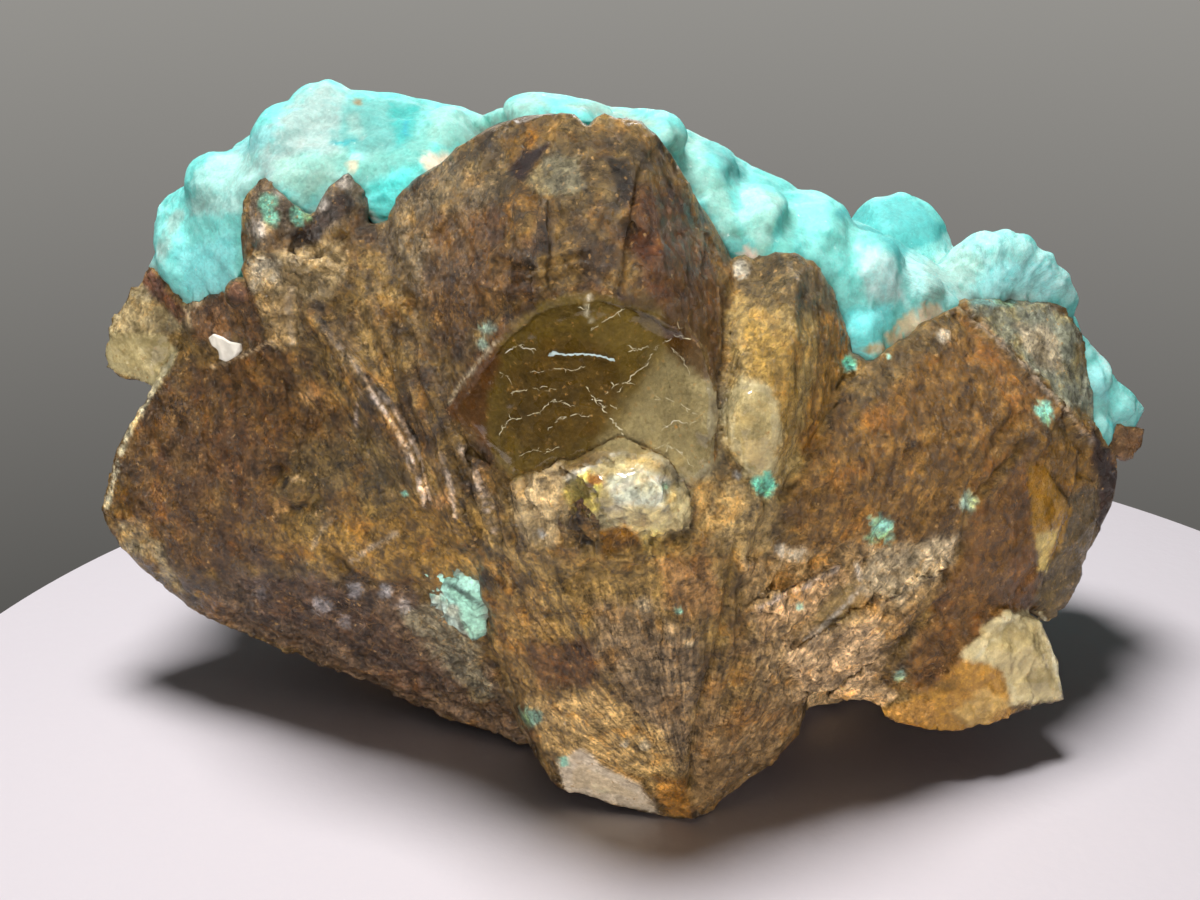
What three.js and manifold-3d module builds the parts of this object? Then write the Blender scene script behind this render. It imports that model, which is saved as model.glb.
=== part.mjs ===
// A cabinet specimen of hemimorphite on calcite, in millimetres, +Z up, front towards -Y.
// Steep calcite crystals fan up and out from a foot at the front, and a lumpy blue
// hemimorphite crust lies over their tips and down the back.
import * as THREE from "three";
import { ConvexGeometry } from "three/addons/geometries/ConvexGeometry.js";
import { mergeVertices } from "three/addons/utils/BufferGeometryUtils.js";
import Module from "manifold-3d";

const wasm = await Module();
wasm.setup();

// The front view that the specimen is laid out from. The eye looks down at it by this angle,
// and front corners are given as they are seen on a plane this far in front of the eye.
const VIEW_TILT = THREE.MathUtils.degToRad(22);
const VIEW_PLANE = 206;
const EYE = new THREE.Vector3(0, -160.2, 110.7);
// How far the crust and the patch stay off the calcite, and the longest a corner is moved
// for that where a crystal comes to a sharp point.
const CRUST_GAP = 0.36;
const GAP_REACH = 1.1;
// How unevenly the rounded lumps have grown, as a share of their radius.
const LUMP_NUDGE = 0.075;
const SMALL_LUMP_CORNERS = 20;
const LUMP_SINK = 1.2;
const LARGE_LUMP_CORNERS = 26;
const BACK_FLATNESS = 0.8;
const SEED = 7;
// The acute angle of a calcite cleavage rhomb.
const RHOMB_ANGLE = THREE.MathUtils.degToRad(75);

// A corner of the front: across and up on the view plane, and its depth behind the front foot.
function seen([across, up, depth]) {
  const rise = up / VIEW_PLANE;
  const away = Math.cos(VIEW_TILT) + rise * Math.sin(VIEW_TILT);
  const fall = -Math.sin(VIEW_TILT) + rise * Math.cos(VIEW_TILT);
  const reach = (depth - EYE.y) / away;
  return new THREE.Vector3((reach * across) / VIEW_PLANE, depth, EYE.z + reach * fall);
}

// A corner that the front view doesn't show: plain x, y, z.
const at = (point) => new THREE.Vector3(...point);

const cornersOf = ({ front = [], back = [] }) => [...front.map(seen), ...back.map(at)];

function bare(geometry) {
  const shape = geometry.clone();
  shape.deleteAttribute("normal");
  shape.deleteAttribute("uv");
  return mergeVertices(shape, 1e-4);
}

function solidOf(geometry) {
  const merged = bare(geometry);
  return new wasm.Manifold(
    new wasm.Mesh({
      numProp: 3,
      vertProperties: merged.attributes.position.array,
      triVerts: new Uint32Array(merged.index.array),
    }),
  );
}

function geometryOf(solid) {
  const mesh = solid.getMesh();
  const geometry = new THREE.BufferGeometry();
  geometry.setAttribute("position", new THREE.BufferAttribute(mesh.vertProperties, 3));
  geometry.setIndex(new THREE.BufferAttribute(mesh.triVerts, 1));
  return geometry.toNonIndexed();
}

const block = (points) => solidOf(new ConvexGeometry(points));
const join = (solids) => solids.reduce((sum, solid) => sum.add(solid));

// The same block with each of its faces moved outwards by at least the gap.
function grown(points, gap) {
  const hull = bare(new ConvexGeometry(points));
  const position = hull.attributes.position;
  const faceNormals = Array.from({ length: position.count }, () => []);
  const triangle = new THREE.Triangle();
  for (let i = 0; i < hull.index.count; i += 3) {
    const ids = [0, 1, 2].map((k) => hull.index.getX(i + k));
    triangle.setFromAttributeAndIndices(position, ...ids);
    const normal = triangle.getNormal(new THREE.Vector3());
    ids.forEach((id) => faceNormals[id].push(normal));
  }
  const moved = faceNormals.map((normals, id) => {
    const out = normals.reduce((sum, n) => sum.add(n), new THREE.Vector3()).normalize();
    const least = Math.min(...normals.map((n) => n.dot(out)));
    const reach = Math.min(gap / Math.max(least, 0.01), GAP_REACH);
    return new THREE.Vector3().fromBufferAttribute(position, id).addScaledVector(out, reach);
  });
  return block([...moved, ...points]);
}

// Each crystal or broken block of the cluster, as the corners seen from the front and the
// hidden corners that root it in the cluster.
const CRYSTALS = {
  core: {
    back: [
      [-30, 33, -1], [-26, 52, -1], [34, 53, -1], [44, 34, -1], [8, 6, 6],
      [-50, 40, 26], [-44, 48, 32], [60, 40, 24], [54, 51, 28],
      [-36, 34, 60], [-30, 44, 54], [0, 22, 66], [0, 44, 58], [40, 32, 44], [44, 46, 38],
    ],
  },
  left_plate: {
    front: [
      [-53.75, 12.25, 27.5], [-48, 11.5, 23.5], [-42, 13.5, 19.5], [-37.5, 13, 16],
      [-57.5, 5, 28], [-61, -1.5, 29.5], [-62.6, -8.5, 31], [-60.5, -12, 30],
      [-57, -12.75, 29], [-54.5, -15, 28], [-52.75, -17.25, 26.5], [-57, -7.75, 25],
      [-52.5, -16.25, 24], [-45.75, -15.25, 19.5], [-36.25, -15, 13.5], [-30.5, -16.5, 10.5],
      [-23.5, -15.5, 7.5], [-15, -16, 3], [-20, -3.75, 4], [-27.5, 6.25, 9], [-33.75, 11, 13],
      [-51.5, -19.5, 29], [-47, -21.75, 28.5], [-41.5, -22.5, 27], [-32.5, -27.75, 25],
      [-22.5, -32, 21.5], [-8.75, -36.5, 15],
    ],
    back: [[-46, 46, 24], [-12, 40, 4], [-48, 44, 44], [-10, 36, 50]],
  },
  left_shoulder: {
    front: [
      [-44.75, 19, 17], [-37.5, 26, 12.5], [-26.75, 28.5, 11], [-25, 18.75, 7],
      [-20, 6.25, 3], [-15, -6.25, -0.5], [-12.5, -13.75, -1], [-15, -16, 2.5],
      [-25, -3.75, 5.5], [-32, 5.5, 10], [-38.75, 12.5, 14.5], [-44.25, 13.5, 18.5],
    ],
    back: [[-40, 40, 50], [-10, 34, 30], [-14, 36, 62]],
  },
  ridge_high: {
    front: [
      [-37.75, 19, 9.5], [-31.75, 12, 6], [-27.5, 5.5, 3.5], [-23.5, -0.5, 2], [-22, -7, 2.5],
      [-34.5, 9.5, 11], [-29.5, -1, 9.5], [-24, -9, 7], [-30, 15, 10], [-22, 4, 6],
    ],
    back: [[-28, 18, 40], [-24, 16, 34]],
  },
  ridge_middle: {
    front: [
      [-24.5, 19, 4], [-23.5, 9.5, 2], [-21, 4.5, 0], [-17.75, -1.5, -2.5], [-16, -10, -3.5],
      [-15.5, -12, -2.5], [-27, 11, 6.5], [-22, -3.5, 3.5], [-18.5, -12, 2], [-20, 12, 5],
      [-14, -2, 2],
    ],
    back: [[-18, 10, 40], [-16, 8, 30]],
  },
  ridge_low: {
    front: [
      [-16, -1, -3], [-14, -5, -4.5], [-12, -9, -5.5], [-11, -13, -5], [-17, -6, 0.5],
      [-10.5, -3, 0], [-14.5, -15, 0],
    ],
    back: [[-12, 8, 34], [-12, 6, 26]],
  },
  left_peak: {
    front: [
      [-45, 27.5, 15], [-44.5, 31, 14.5], [-42.25, 34.25, 14], [-38.5, 31, 12.5],
      [-37.5, 28, 12.5], [-39.5, 24, 11.5], [-42, 26, 11], [-44.75, 22, 14],
    ],
    back: [[-40, 34, 58], [-34, 34, 56], [-40, 32, 50]],
  },
  second_peak: {
    front: [
      [-37.5, 28, 12.5], [-34, 33, 12.5], [-31.5, 34.9, 12.5], [-29.25, 33, 13.5],
      [-30.25, 29.5, 13], [-29.5, 27, 12.5], [-33, 27.5, 10], [-36.5, 25.5, 11.5],
      [-33, 22, 11],
    ],
    back: [[-34, 32, 58], [-26, 32, 58], [-30, 30, 48]],
  },
  pale_column: {
    front: [
      [-44.5, 24, 14], [-38, 24.5, 10.5], [-31.5, 23.5, 9.5], [-30, 22, 10.5], [-31, 14, 8.5],
      [-36, 12.5, 9.5], [-39, 12.75, 12.5], [-41, 16, 13], [-43.5, 19, 15],
    ],
    back: [[-40, 32, 50], [-30, 32, 46]],
  },
  purple_block_left: {
    front: [
      [-56.5, 23.5, 30], [-52, 18.5, 26], [-50, 15, 25], [-52.5, 13.5, 28], [-56.25, 17.5, 31],
      [-57.5, 20, 32],
    ],
    back: [[-50, 42, 44], [-46, 40, 36]],
  },
  purple_block_right: {
    front: [
      [-52.5, 18, 26], [-48.5, 18.5, 23.5], [-45.25, 20.5, 19.5], [-43.5, 16.5, 17.5],
      [-44.5, 13, 20], [-49.5, 11.75, 23], [-52.5, 13.5, 27],
    ],
    back: [[-50, 42, 44], [-44, 40, 36]],
  },
  yellow_block_high: {
    front: [
      [-60.5, 17, 31.5], [-58.75, 20.75, 31], [-52.75, 18.5, 28], [-51.5, 14.5, 28],
      [-56, 13.75, 28.5], [-61.5, 14.5, 32],
    ],
    back: [[-54, 42, 46], [-50, 42, 38], [-58, 38, 44]],
  },
  yellow_block_low: {
    front: [
      [-62, 13, 31.5], [-60.5, 15.5, 31], [-54, 14.75, 28.5], [-52.5, 11, 28],
      [-55.25, 7.75, 29], [-58.75, 9, 30.5], [-61.75, 10.25, 32],
    ],
    back: [[-52, 42, 42], [-50, 42, 36], [-56, 38, 42]],
  },
  central_crystal: {
    front: [
      [-7.25, 42.25, 3], [-5, 42.5, 3], [-3, 41.5, 3], [-12.75, 40.5, 5], [-15.5, 39.25, 6],
      [-18, 37.5, 7], [-19, 36, 8], [-25, 32, 10], [-27, 28, 11],
      [-25, 18.75, 6.5], [-21.25, 6.25, 2.5], [-18, 5, 0], [-11.25, -3.75, -3],
      [-9.5, 31.25, -3], [-9.5, 18.75, -7], [0, 31.25, -5], [0, 20, -8.5], [2.5, -3.75, -9],
      [5, 40.75, 3], [6.25, 39.75, 4], [8.5, 36.75, 6], [11, 32.25, 9], [14, 28, 10],
      [16.25, 24.5, 11], [17, 19, 6], [15.25, 1.25, -2.5], [12.5, -5, -5], [7.5, 25, -5],
      [10, 12.5, -7], [1.5, 41.5, 4],
    ],
    back: [[-16, 34, 60], [10, 30, 62], [0, 20, 20], [-12, 26, 74], [4, 26, 75]],
  },
  central_step: {
    front: [
      [-12.5, 26, -3.5], [-8, 27.5, -6], [-6.5, 32, -4.5], [-8, 20, -8.5], [-12, 19.5, -6.5],
      [-6.25, 19, -8], [-15.5, 20.5, -2.5],
    ],
    back: [[-8, 10, 60], [-6, 6, 50]],
  },
  peak_right: {
    front: [
      [2.5, 35, -2], [4, 39.75, 1.5], [5, 40.9, 3], [8, 36.5, 4], [11, 31.5, 6.5],
      [6, 27, -5.5], [3.25, 29, -6],
    ],
    back: [[6, 16, 66], [10, 20, 60]],
  },
  finger_crystal: {
    front: [
      [17.25, 20.5, 7], [19.5, 24, 9.5], [22, 25, 9], [24.5, 25, 9], [27, 23.25, 10],
      [28.75, 20.5, 11], [31, 14.5, 12], [31.25, 12, 12], [29.75, 6, 9], [25, -0.75, 4],
      [22.5, -5, 0], [20, -5.5, -2.5], [17.5, -2.5, -4], [15.25, 2, -3.5], [15, 8.75, 0.5],
      [16.5, 16.5, 4], [23.75, 13, -2], [23, 2, -4], [24.5, 21, 3.5], [18, 6, -4.5],
    ],
    back: [[16, 30, 50], [30, 32, 44], [20, 26, 26]],
  },
  under_finger: {
    front: [
      [10, -2, -5], [14.5, 0, -4], [17, -3, -4.5], [20.5, -6.5, -4.5], [18.75, -12, -5.5],
      [16.5, -19, -5.5], [10.5, -13, -8], [8.5, -8, -8.5],
    ],
    back: [[14, 14, 20], [14, 8, 34], [20, 14, 20]],
  },
  fan_left: {
    front: [
      [-15, -16, 1], [-12.5, -8, -2], [-10, -13.75, -5], [2.5, -8.75, -9],
      [12.5, -10, -8], [17, -13.75, -5.5], [17, -23.75, -5], [13, -31.25, -3],
      [11.5, -40.75, -2], [11.75, -46.5, 0], [10.5, -46.5, 0], [-5, -42.5, 2],
      [-7, -39.25, 3.5], [-9, -36.25, 8], [-12, -30, 9], [-13.75, -23.75, 7],
      [-14.5, -18.75, 4], [2.5, -23.75, -8], [0, -31.25, -5.5], [7.5, -31.25, -6],
      [3.75, -38.75, -2.5],
    ],
    back: [[8, 14, -1], [-4, 14, 2], [-6, 26, 6], [14, 26, 8]],
  },
  fan_rib_left: {
    front: [
      [-11, -11.5, -5], [-7, -14, -7.5], [-1, -24, -8.5], [5, -33, -5.5], [-9.5, -16, -4],
      [0, -30, -4.5], [-3, -14, -7],
    ],
    back: [[0, 8, 26], [2, 6, 18]],
  },
  fan_rib_right: {
    front: [
      [9, -13, -9], [13.5, -17, -7.5], [13.5, -25, -5.75], [11, -33, -3.75], [8.5, -24, -8.5],
      [7, -32, -5.5],
    ],
    back: [[10, 6, 26], [10, 4, 18]],
  },
  fan_right: {
    front: [
      [17, -17.5, -4], [13.25, -28.75, -2], [12.25, -40.5, -1], [12.25, -46.5, 0.5],
      [14.5, -44.5, 1.5], [17.5, -42.5, 3], [22, -38.75, 5.5], [25, -35.5, 7.5],
      [25.75, -31.25, 8], [25, -23.75, 4], [20, -18.75, -1.5], [18.5, -30, -3.5],
      [20, -23.75, -4],
    ],
    back: [[14, 16, -1], [26, 22, 4], [24, 26, 20]],
  },
  right_crystal: {
    front: [
      [31, 9.25, 8], [33.25, 11, 11.5], [37, 13.25, 15], [40, 15.5, 18], [44.75, 18, 21],
      [52, 11.5, 21.5], [58, 5.5, 21], [56.5, 1.25, 17], [50, -2.5, 12], [45, -10, 8],
      [37.5, -23.75, 5], [28.75, -30, 4.5], [25, -30, 4.5], [17, -21.25, -1],
      [17.5, -13.75, -3], [20.75, -7, -3], [25, 0, 1], [30, 7.5, 6], [37.5, 0, 5.5],
      [41, 12, 14.5],
    ],
    back: [[40, 34, 44], [54, 38, 34], [30, 26, 12], [20, 24, 24]],
  },
  red_ridge: {
    front: [
      [18, -19.5, -4.5], [25, -16.25, -2.5], [30.75, -14, 0.25], [30, -17.25, 0], [22, -23.5, -2.5],
      [18.75, -24.5, -3.5],
    ],
    back: [[24, 10, 24], [30, 12, 24]],
  },
  lower_ridge: {
    front: [
      [22, -26, -0.5], [31, -20.75, 0.5], [43, -15, 5.75], [43.5, -17.5, 6.5],
      [35, -24.5, 3], [27, -29.5, 2],
    ],
    back: [[30, 12, 16], [38, 16, 20]],
  },
  right_flank: {
    front: [
      [50, -2.5, 13], [54, 0.5, 15.5], [57.5, 4.5, 20.5], [60.5, -0.5, 23], [57.5, -8.75, 20], [55, -18.75, 18],
      [52, -20.25, 14], [45, -25.75, 9], [42, -31.25, 9], [35, -32, 9], [28.75, -31, 7],
      [37.5, -23.75, 6], [45, -11.25, 9], [50.5, -11.25, 12],
    ],
    back: [[50, 40, 16], [30, 34, 4], [44, 34, 4]],
  },
  right_plate: {
    front: [
      [44.75, 18.25, 23], [46, 18.75, 26], [50, 19, 28], [55, 18.5, 30], [58.5, 18, 31],
      [60.25, 13.75, 32], [59.5, 11.25, 31], [60.5, 7.5, 31], [62, 0.5, 28], [58, 5, 23],
      [51.25, 13, 23.5],
    ],
    back: [[52, 42, 46], [60, 44, 34], [56, 40, 26]],
  },
  right_edge: {
    front: [
      [58, 4, 23], [61.25, 4, 26], [64.5, -0.25, 29], [65, -3, 30], [63.75, -6.25, 30],
      [62, -9, 29], [61, -13, 28], [58, -6, 23],
    ],
    back: [[60, 44, 28], [56, 42, 16], [50, 38, 28]],
  },
  far_right_crystal: {
    front: [
      [64.75, 3.5, 37], [68.5, 2.75, 38], [68, 0, 38.5], [65.5, -1.25, 37], [64, 0, 36],
    ],
    back: [[60, 46, 30], [58, 44, 34]],
  },
  grey_plate: {
    front: [
      [57, -3.5, 21.5], [62, -4, 25], [62, -8.75, 26], [61, -13, 26], [58.5, -19.75, 25],
      [55.75, -21.75, 24], [54.25, -20, 22], [55.5, -12, 20.5],
    ],
    back: [[56, 36, 26], [50, 36, 20], [50, 36, 12]],
  },
  golden_plate: {
    front: [
      [53.75, -1.75, 15.5], [56.5, -3, 17.5], [58.75, -6.5, 20], [57, -12.5, 19],
      [55.5, -14.5, 18], [54.25, -11.5, 15.5],
    ],
    back: [[52, 30, 30], [50, 30, 18]],
  },
  golden_block: {
    front: [
      [42.5, -31.25, 7.5], [45.25, -25.75, 8], [50.5, -20.25, 10.5], [55.25, -21.25, 14],
      [57, -26, 13.5], [58.25, -31.25, 12.5], [50, -32, 8.5], [46.5, -34.5, 7.5],
      [44.5, -35.4, 7], [38, -34.5, 6.5], [35.5, -33.5, 7], [35, -31.75, 8],
    ],
    back: [[38, 24, 4], [52, 26, 6], [50, 28, 16], [36, 26, 14]],
  },
};

// Hollows broken or grown into the cluster: the corners of what is missing.
const HOLLOWS = {
  window: {
    front: [
      [-19.25, 5, -15], [-17.25, 8.25, -15], [-12.25, 14.25, -15], [-8.75, 18.1, -15],
      [-3.1, 19, -15], [0, 20.25, -15], [6.9, 18.75, -15], [12.5, 15, -15],
      [13.25, 12.4, -15], [15, 7, -15], [14.5, 1.25, -15], [11, -3.75, -15],
      [-4.6, -6, -15], [-11, -4.25, -15], [-14, -1, -15], [-18, 2.75, -15],
      [-17, 5.25, 1], [-12, 13.5, -0.25], [-8, 16.5, -1.75], [0, 17.5, -3.5], [6, 16.5, -4.25],
      [-13, -0.5, -0.25], [-9.5, -3, -1.75], [11.5, 13, -3.5], [13.5, 6, -4], [12.5, 0, -4.25],
      [4, -3.5, -5],
    ],
  },
  peak_notch: {
    front: [
      [-4.6, 44.5, -12], [1.6, 44.5, -12], [-1.6, 39.9, -12],
      [-4.6, 44.5, 24], [1.6, 44.5, 24], [-1.6, 39.9, 24],
    ],
  },
  small_notch: {
    front: [
      [1.8, 43, -12], [5, 43, -12], [3.4, 40.1, -12],
      [1.8, 43, 12], [5, 43, 12], [3.4, 40.1, 12],
    ],
  },
  peak_pit: {
    front: [
      [-12, 34.5, -9], [-6.5, 40.5, -9], [-1.5, 38.5, -9], [-3, 33.5, -9], [-9, 32, -9],
      [-10.5, 35.5, 3.5], [-5.5, 39, 4.5], [-4, 36, 1.5],
    ],
  },
  crystal_crack: {
    front: [
      [3, 32, -12], [4.6, 32, -12], [2.6, 20.5, -12], [3.6, 20.5, -12],
      [3.8, 30, -1], [3.1, 21.5, -5],
    ],
  },
};

// Broken blocks that stand in the mouth of the window.
const WINDOW_BLOCKS = {
  pale_ribs: {
    front: [
      [-11.25, -3.5, -5], [-7.5, -2.75, -8], [-4, -3, -9], [-3.5, -10, -10], [-1.5, -13.75, -9.5],
      [-6, -17, -7.5], [-10.5, -13, -6],
    ],
    back: [[-8, 4, 40], [0, 4, 32]],
  },
  pale_block: {
    front: [
      [-4.6, -2, -8.5], [2.5, 2, -6], [5, 0.5, -8.5], [8.75, -1, -9.5], [11.25, -5, -8.5],
      [11.4, -10, -9], [6, -10.75, -10.5], [-1, -9.5, -11], [0.5, -5.5, -12], [6.5, -4.5, -11.5],
    ],
    back: [[0, 6, 42], [10, 6, 36], [4, 6, 30]],
  },
  brown_block: {
    front: [
      [-0.5, -9.5, -10.5], [5.5, -9, -10.5], [7, -13.5, -10], [2.5, -15.5, -9.75], [-0.75, -13, -10],
    ],
    back: [[2, 6, 30], [6, 6, 30]],
  },
  wall_step: {
    front: [
      [7.5, 17, -4.5], [12.25, 14, -5], [14.5, 7, -6], [14, 1, -6.5], [9.5, 3, -5.5],
      [8, 11, -5],
    ],
    back: [[6, 10, 50], [12, 10, 46], [12, 8, 36]],
  },
};

// Cleavage rhombs of calcite at the back and underneath: centre, edge length, turn in degrees.
const RHOMBS = [
  [-26, 49, 11, 17, 20], [2, 51, 9, 16, 50], [27, 49, 9, 15, 75], [-44, 42, 27, 14, 40],
  [50, 42, 20, 13, 15], [-12, 50, 16, 15, 65], [15, 53, 16, 13, 30], [40, 47, 14, 12, 55],
];

// Slabs of the crust, broken across at the front.
const CRUST_SLABS = [
  {
    front: [
      [-56.25, 23.5, 30], [-55.25, 30.5, 31], [-51.5, 31.5, 30], [-51.5, 18.25, 25],
      [-45.5, 20.25, 20], [-43, 34, 17], [-50, 33.5, 29], [-45.5, 37.5, 30],
    ],
    back: [[-50, 50, 40], [-46, 52, 56], [-36, 48, 62]],
  },
  {
    front: [
      [-45.75, 37.5, 28], [-39.5, 41.5, 28], [-37.25, 44, 27], [-34.75, 46, 28],
      [-30.5, 45, 27], [-21.75, 43.75, 27], [-15.5, 42, 26],
      [-19.5, 36, 13.5], [-26.5, 29.5, 13], [-31.5, 35, 15], [-37.5, 28, 15], [-42.25, 34.25, 16.5],
    ],
    back: [[-42, 50, 56], [-14, 50, 56], [-20, 42, 70]],
  },
  {
    front: [
      [-15.75, 42, 24], [-10.75, 43.75, 20], [-8.5, 44.6, 20], [-5.75, 43.5, 19],
      [2.75, 43, 20], [5, 41.75, 20], [9.5, 41, 24], [12.25, 39.5, 28], [11.25, 31.5, 12],
      [5, 40.5, 8],
    ],
    back: [[-14, 44, 64], [14, 46, 58], [0, 38, 68]],
  },
  {
    front: [
      [11.25, 39.25, 27], [15, 35, 27], [19, 32.25, 24], [25, 32, 24], [30, 29.25, 28],
      [35.5, 26, 30], [44.5, 22, 30], [45, 18.75, 24], [31.5, 10.75, 14], [31, 15, 14],
      [23.75, 25, 12], [17.5, 22.5, 12.5], [12, 31.25, 12.5],
    ],
    back: [[14, 48, 56], [44, 52, 42], [30, 48, 50]],
  },
  {
    front: [[44.25, 22, 28], [60, 14, 33], [44.75, 19, 26], [58.75, 18.5, 32]],
    back: [[44, 52, 44], [60, 52, 38], [52, 46, 52]],
  },
  {
    front: [
      [59.75, 15, 33], [61, 12.75, 34], [63, 10, 36], [65.5, 7.25, 37], [68.25, 5, 38.5],
      [64.75, 2.5, 37.5], [64.5, -0.5, 36.5], [61, 5, 32.5],
    ],
    back: [[60, 52, 38], [64, 48, 30], [56, 52, 26]],
  },
];

// Lumps of the broken front of the crust and the domes seen over its top: across, up, depth,
// then the half width, half height and half thickness.
const FRONT_LUMPS = [
  [-47.5, 33.25, 26, 4.1, 4.4, 5], [-51, 24, 27.5, 4.6, 5.4, 4.5], [-39, 38, 23, 4.8, 5, 6],
  [-34.5, 41.5, 26, 4.6, 4.2, 6], [-27, 39.25, 24, 5.2, 4.4, 6], [-19.5, 39, 21, 4.2, 3.4, 5],
  [-35, 35.5, 18, 3.6, 3, 4], [-28.5, 33.25, 16.5, 3.2, 3.6, 4], [-8, 42.25, 17, 4, 2.1, 5],
  [6.5, 39.5, 15, 4, 2.6, 6], [12.5, 34.5, 20, 4.4, 4, 7], [20, 29.75, 16, 3.4, 3, 5],
  [17.5, 27, 16.5, 2.6, 4.4, 4.5], [27, 27, 21, 4.4, 4.6, 6], [33.5, 22.5, 20, 4.6, 4.6, 5],
  [39, 20.25, 22.5, 3.8, 3.4, 5], [32.75, 14.5, 15.5, 2.4, 3.4, 3.5],
  [61.5, 9, 33.5, 2.4, 2.6, 3.4], [64.75, 5.5, 36, 2.4, 2, 3], [62.25, 2, 32, 1.6, 3.4, 3],
  [13, 33, 36, 6, 5.6, 7], [37, 25.25, 40, 7, 7.2, 7.5], [-41.5, 34, 37, 6, 6, 6],
];

// Flutes of the fan at the right of the crust: the rim corner of each, seen from the front.
// They all spring from one root.
const FAN_ROOT = [48.5, 17.5, 27];
const FAN_RIM = [
  [44.2, 25.4, 31], [48.1, 27.6, 30.5], [51.2, 27.9, 30], [54, 26.9, 30.5], [57, 24.7, 31.5],
  [59.2, 21.8, 32.5], [60.4, 18.6, 33.5], [59.8, 15.4, 33.5],
];
const FLUTE_WIDTH = 1.9;
const FLUTE_PROUD = 0.9;
const FLUTE_BACK = [0, 13, -6.5];

// Rounded lumps over the top and down the back: centre x, y, z, radius, height for width.
const BACK_LUMPS = [
  [-24, 30, 68.5, 6.6, 1], [-9, 29, 69, 6.4, 1], [8, 29, 67.5, 6.2, 1], [23, 31, 60, 6, 1],
  [-27, 38, 66, 8.5, 0.95], [-9, 36, 65, 8.5, 0.95], [5, 38, 63, 8, 1], [21, 40, 57, 7.6, 1],
  [54, 44, 43, 8, 1], [61, 44, 33, 6.5, 1], [-49, 45, 50, 6.5, 1], [-38, 47, 56, 8.8, 1],
  [-19, 46, 59, 11, 0.95], [1, 47, 57, 8.6, 1], [15, 47, 51, 10.5, 0.95], [34, 50, 45, 10.5, 1],
  [50, 50, 34, 8.2, 1], [61, 48, 25, 6, 1], [-50, 47, 38, 7, 1], [-36, 50, 43, 10.5, 1],
  [-18, 52, 45, 9, 1], [-3, 52, 43, 11.5, 1], [15, 53, 37, 9.6, 1], [29, 53, 31, 7.4, 1],
  [41, 52, 27, 8, 1], [53, 49, 21, 6, 1], [-45, 48, 27, 6, 1], [-29, 52, 29, 8, 1],
  [-14, 53, 30, 7.2, 1], [2, 54, 27, 6.4, 1], [14, 54, 24, 5.6, 1], [-22, 52, 19, 5.4, 1],
];

// The weathered blue patch in the notch at the lower front.
const PATCH = {
  front: [
    [-23.5, -15.5, 6.2], [-20.5, -15.75, 4.8], [-16.6, -15.75, 2.2], [-14.9, -18, 1.8],
    [-14.8, -21, 3.4], [-15.5, -23.8, 5.4], [-18.5, -22.3, 8.2], [-21.75, -20, 8.4],
    [-18.2, -18.4, 3.2],
  ],
};
const PATCH_ROOT = [2, 12, 2];

let state = SEED;
function chance() {
  state = (state * 16807) % 2147483647;
  return state / 2147483647;
}

// A round lump of flat faces, with every corner nudged in or out so that no two are alike.
function lump(centre, halves, cornerCount) {
  const goldenTurn = Math.PI * (3 - Math.sqrt(5));
  const start = 2 * Math.PI * chance();
  const corners = Array.from({ length: cornerCount }, (_, i) => {
    const z = 1 - (2 * i + 1) / cornerCount;
    const ring = Math.sqrt(1 - z * z);
    const turn = start + i * goldenTurn;
    const scale = 1 + LUMP_NUDGE * (2 * chance() - 1);
    const corner = new THREE.Vector3(ring * Math.cos(turn), ring * Math.sin(turn), z);
    return corner.multiplyScalar(scale).multiply(at(halves)).add(centre);
  });
  return block(corners);
}

const frontLump = ([across, up, depth, wide, high, thick]) =>
  lump(seen([across, up, depth + LUMP_SINK]), [wide, thick, high], SMALL_LUMP_CORNERS);
const backLump = ([x, y, z, radius, tall]) =>
  lump(at([x, y, z]), [radius, radius * BACK_FLATNESS, radius * tall], LARGE_LUMP_CORNERS);

// One flute of the fan: a wedge from the root that widens to its rim.
function flute(rim) {
  const root = seen(FAN_ROOT);
  const tip = seen(rim);
  const along = tip.clone().sub(root).normalize();
  const depth = new THREE.Vector3(0, 1, 0);
  const side = new THREE.Vector3().crossVectors(along, depth).normalize();
  const shoulder = root.clone().lerp(tip, 0.86);
  const edges = [-1, 1].map((s) => shoulder.clone().addScaledVector(side, s * FLUTE_WIDTH));
  const ridge = shoulder.clone().addScaledVector(depth, -FLUTE_PROUD);
  const front = [root, tip, ridge, ...edges];
  return block([...front, ...front.map((p) => p.clone().add(at(FLUTE_BACK)))]);
}

// A cleavage rhomb of calcite standing on one edge.
function rhomb([x, y, z, edge, degrees]) {
  const shear = 1 / Math.tan(RHOMB_ANGLE);
  const flattened = 0.8;
  const corners = [];
  for (const i of [-0.5, 0.5]) {
    for (const j of [-0.5, 0.5]) {
      for (const k of [-0.5, 0.5]) {
        corners.push(new THREE.Vector3(i + shear * (j + k), j + shear * k, k * flattened));
      }
    }
  }
  const turn = new THREE.Euler(0.5, 0.35, THREE.MathUtils.degToRad(degrees));
  return corners.map((p) => p.multiplyScalar(edge).applyEuler(turn).add(at([x, y, z])));
}

// Everything under the surface that the specimen stands on.
function underTable() {
  const side = 400;
  return solidOf(new THREE.BoxGeometry(side, side, side).translate(0, 0, -side / 2));
}

const largest = (solid) =>
  solid.decompose().reduce((best, piece) => (piece.volume() > best.volume() ? piece : best));

const table = underTable();
const crystals = [...Object.values(CRYSTALS).map(cornersOf), ...RHOMBS.map(rhomb)];
const windowBlocks = Object.values(WINDOW_BLOCKS).map(cornersOf);
const hollows = Object.values(HOLLOWS).map(cornersOf);

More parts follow.
